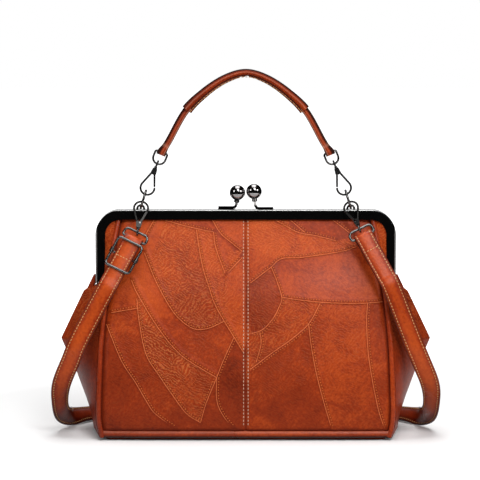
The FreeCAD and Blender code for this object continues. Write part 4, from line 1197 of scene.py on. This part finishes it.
def shoulderStrap():
    look = strapLook
    rows = strapStations()
    places, flats = rows[:, :3], rows[:, 3:]
    ways = headings(places)
    flats = flats - ways * np.sum(flats * ways, axis=1)[:, None]
    flats /= np.linalg.norm(flats, axis=1)[:, None]
    faces = np.cross(ways, flats)
    half, thick = look["width"] / 2, look["thickness"] / 2

    def place(column, row):
        across, out = strapProfile[column]
        return Vector(places[row] + flats[row] * across * half + faces[row] * out * thick) * mm

    bm = bmesh.new()
    weave(bm, len(strapProfile), len(rows) - 1, place, True)
    closeEnds(bm)
    made = piece("shoulderStrap", bm, trimLeather, ["shoulder_strap"])
    where = vertexPlaces(made)
    nearest = np.concatenate([  # in parts, to save memory
        np.linalg.norm(part[:, None] - places[None], axis=2).argmin(axis=1)
        for part in np.array_split(where, look["searchParts"])
    ])
    aside = np.abs(np.sum((where - places[nearest]) * flats[nearest], axis=1)) / half
    mark(made, "rim", look["rim"] * between(*look["rimRise"], aside))
    onFloor = look["floorTone"] * fade(*look["floorFade"], where[:, 2])
    # a painted highlight band down the middle, darker where the strap lies low on the floor
    mark(made, "tone", look["tone"] * fade(*look["highlightFade"], aside) - onFloor)
    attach(made, "bag")
    thread = bmesh.new()
    sewn = slice(look["stitchEnds"], -look["stitchEnds"])
    for side in (-1, 1):
        spots = places + flats * side * (half - look["stitchInset"]) + faces * thick
        stitchRow(thread, spots[sewn], faces[sewn], strapStitch)
    for side, along in ((-1, look["crossStitchLeft"]), (1, look["crossStitch"])):
        start, way, across, facing = strapRun(side)
        reach = np.linspace(-1, 1, look["crossSteps"]) * (half - look["stitchInset"])
        crossing = start + way * along + facing * (look["layer"] + thick * look["crossLift"])
        spots = np.array(crossing) + reach[:, None] * np.array(across)
        stitchRow(thread, spots, np.tile(np.array(facing), (len(spots), 1)), strapStitch)
    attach(piece("strapStitches", thread, strapThread), "bag")


# along the run and out from it in mm, first from the run's start and then from the slider's bar
tailLook = {
    "from": (3.5, -2.0), "round": [(-4, -3.3), (0, -3.5), (1.9, -1.65), (0, 0.1)], "step": 1.5,
    "corners": [(-1, 0.7), (1, 0.7), (1, -0.7), (-1, -0.7)], "stretchFrom": 4, "stretchTo": -3,
}


def strapTail():
    # the doubled length behind the slider
    look = tailLook
    low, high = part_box("slider_bar")
    start, way, across, facing = strapRun(-1)
    bar = ((low + high) / (2 * mm) - start).dot(way)
    line = [look["from"]] + [(bar + along, out) for along, out in look["round"]]
    rows = smoothLine([start + way * along + facing * out for along, out in line], look["step"])
    ways = headings(rows)
    half = strapLook["width"] / 2

    def place(column, row):
        side, out = look["corners"][column]
        up = Vector(ways[row]).cross(across)
        return (Vector(rows[row]) + across * side * half + up * out) * mm

    bm = bmesh.new()
    weave(bm, len(look["corners"]), len(rows) - 1, place, True)
    closeEnds(bm)
    made = piece("strapTail", bm, trimLeather, ["strap_tail"])
    first = start + way * look["stretchFrom"]
    last = start + way * (bar + look["stretchTo"])
    first * mm
    last * mm
    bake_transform(made)


shoulderStrap()
strapTail()
print("shoulder strap made")


# metal and the base board keep their CAD shape
finishes = {
    "frame_": frameLacquer, "base_board": stiffBoard, "clasp_ball": ballNickel,
    "handle_left": hookEnamel, "handle_right": hookEnamel,
    "slider": wireNickel, "strap_loop": wireNickel, "staple": wireNickel,
    "ring": wireNickel, "handle_ring": wireNickel,
}


def metalFinish(name):
    for start, paint in finishes.items():
        if name.startswith(start):
            return paint
    return hookNickel if "hook" in name or "gate" in name else blackNickel


for name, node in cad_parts.items():
    if not node.hide_render:
        node.data.materials.clear()
        node.data.materials.append(metalFinish(name))
print("metal finished")


# floor, light and camera, in metres
stageLook = {
    "floorSize": 12, "floorDrop": 0.0002, "floor": 0.4, "seenFloor": 0.92,
    "glowStops": [(0.3, 0.03), (0.85, 1)],  # distance from the middle and glow
    "fill": 0.15, "screen": 0.008, "screenTurn": 168, "screenColumns": 24,
    "screenRows": [(0.6, 0.002), (3, 0.002), (3, 2.6), (1.1, 3.6)],  # radius and height
    "lampAim": (0, 0, 0.12),
}
lampLook = {
    "key": {"place": (0.3, -1.5, 2.0), "size": 0.9, "power": 18},
    "front": {"place": (0.55, -1.7, 1.45), "size": 0.5, "power": 8},
    "left": {"place": (-1.7, -1.1, 1.1), "size": 0.6, "power": 7.5},
    "right": {"place": (1.7, -1.1, 1.1), "size": 0.6, "power": 10},
    "top": {"place": (0.0, 0.3, 2.8), "size": 2.0, "power": 52},
}
cameraLook = {"aim": (-0.005, 0, 0.168), "distance": 2.4, "elevation": 6, "lens": 206, "sensor": 36}


def seenRays(paint):
    # 1 for the rays that should meet a white background
    rays = ("Is Camera Ray", "Is Glossy Ray", "Is Transmission Ray")
    camera, glossy, through = (paint.node("ShaderNodeLightPath", output=ray) for ray in rays)
    return camera.combine("MAXIMUM", camera.combine("MAXIMUM", camera, glossy), through)


def stagePiece(name, bm, material, drop=0):
    mesh = bpy.data.meshes.new(name)
    bm.to_mesh(mesh)
    bm.free()
    mesh.materials.append(material)
    made = bpy.data.objects.new(name, mesh)
    made.location = (0, 0, drop)
    scene.collection.objects.link(made)
    return made


def makeFloor():
    # shadows fall near the object, and the floor far from it is as white as the background
    look = stageLook
    paint = Paint("pale floor")
    seen = seenRays(paint)
    away = paint.node("ShaderNodeVectorMath", {"operation": "LENGTH"}, {0: paint.place}, 1)
    matte = paint.surface({
        "Base Color": seen * (look["seenFloor"] - look["floor"]) + look["floor"],
        "Roughness": 1.0, "Specular IOR Level": 0.0,
        "Emission Color": seen * paint.ramp(away, *look["glowStops"]), "Emission Strength": 1.0,
    })
    bm = bmesh.new()
    bmesh.ops.create_grid(bm, x_segments=1, y_segments=1, size=look["floorSize"] / 2)
    stagePiece("floor", bm, matte, -look["floorDrop"])


def makeScreen():
    # dark floor cloth and curved screen before the object, which only reflections see
    paint = Paint("dark screen")
    dark = stageLook["screen"]
    card = paint.node("ShaderNodeEmission", None, {"Color": (dark, dark, dark, 1), "Strength": 1.0})
    paint.node("ShaderNodeOutputMaterial", None, {"Surface": card})
    columns, rows = stageLook["screenColumns"], stageLook["screenRows"]

    def place(column, row):
        turn = math.radians(stageLook["screenTurn"] * (2 * column / columns - 1))
        radius, height = rows[row]
        return Vector((radius * math.sin(turn), -radius * math.cos(turn), height))

    bm = bmesh.new()
    weave(bm, columns, len(rows) - 1, place)
    screen = stagePiece("darkScreen", bm, paint.material)
    screen.visible_camera = False
    screen.visible_diffuse = False
    screen.visible_shadow = False


def makeWorld():
    paint = Paint("studio", bpy.data.worlds)
    scene.world = paint.material
    level = seenRays(paint) * (1 - stageLook["fill"]) + stageLook["fill"]
    light = paint.node("ShaderNodeBackground", None, {"Color": (1, 1, 1, 1), "Strength": level})
    paint.node("ShaderNodeOutputWorld", None, {"Surface": light})


def makeLamps():
    for name, look in lampLook.items():
        lamp = bpy.data.lights.new(name, "AREA")
        lamp.size = look["size"]
        lamp.energy = look["power"]
        holder = bpy.data.objects.new(name, lamp)
        holder.location = look["place"]
        aim = Vector(stageLook["lampAim"]) - Vector(look["place"])
        holder.rotation_euler = aim.to_track_quat("-Z", "Y").to_euler()
        scene.collection.objects.link(holder)


def makeCamera():
    rise = math.radians(cameraLook["elevation"])
    aim = Vector(cameraLook["aim"])
    away = Vector((0, -math.cos(rise), math.sin(rise))) * cameraLook["distance"]
    camera = bpy.data.cameras.new("camera")
    camera.lens = cameraLook["lens"]
    camera.sensor_width = cameraLook["sensor"]
    holder = bpy.data.objects.new("camera", camera)
    holder.location = aim + away
    holder.rotation_euler = (-away).to_track_quat("-Z", "Y").to_euler()
    scene.collection.objects.link(holder)
    scene.camera = holder


makeFloor()
makeScreen()
makeWorld()
makeLamps()
makeCamera()
scene.view_settings.view_transform = "Standard"
print("stage made")
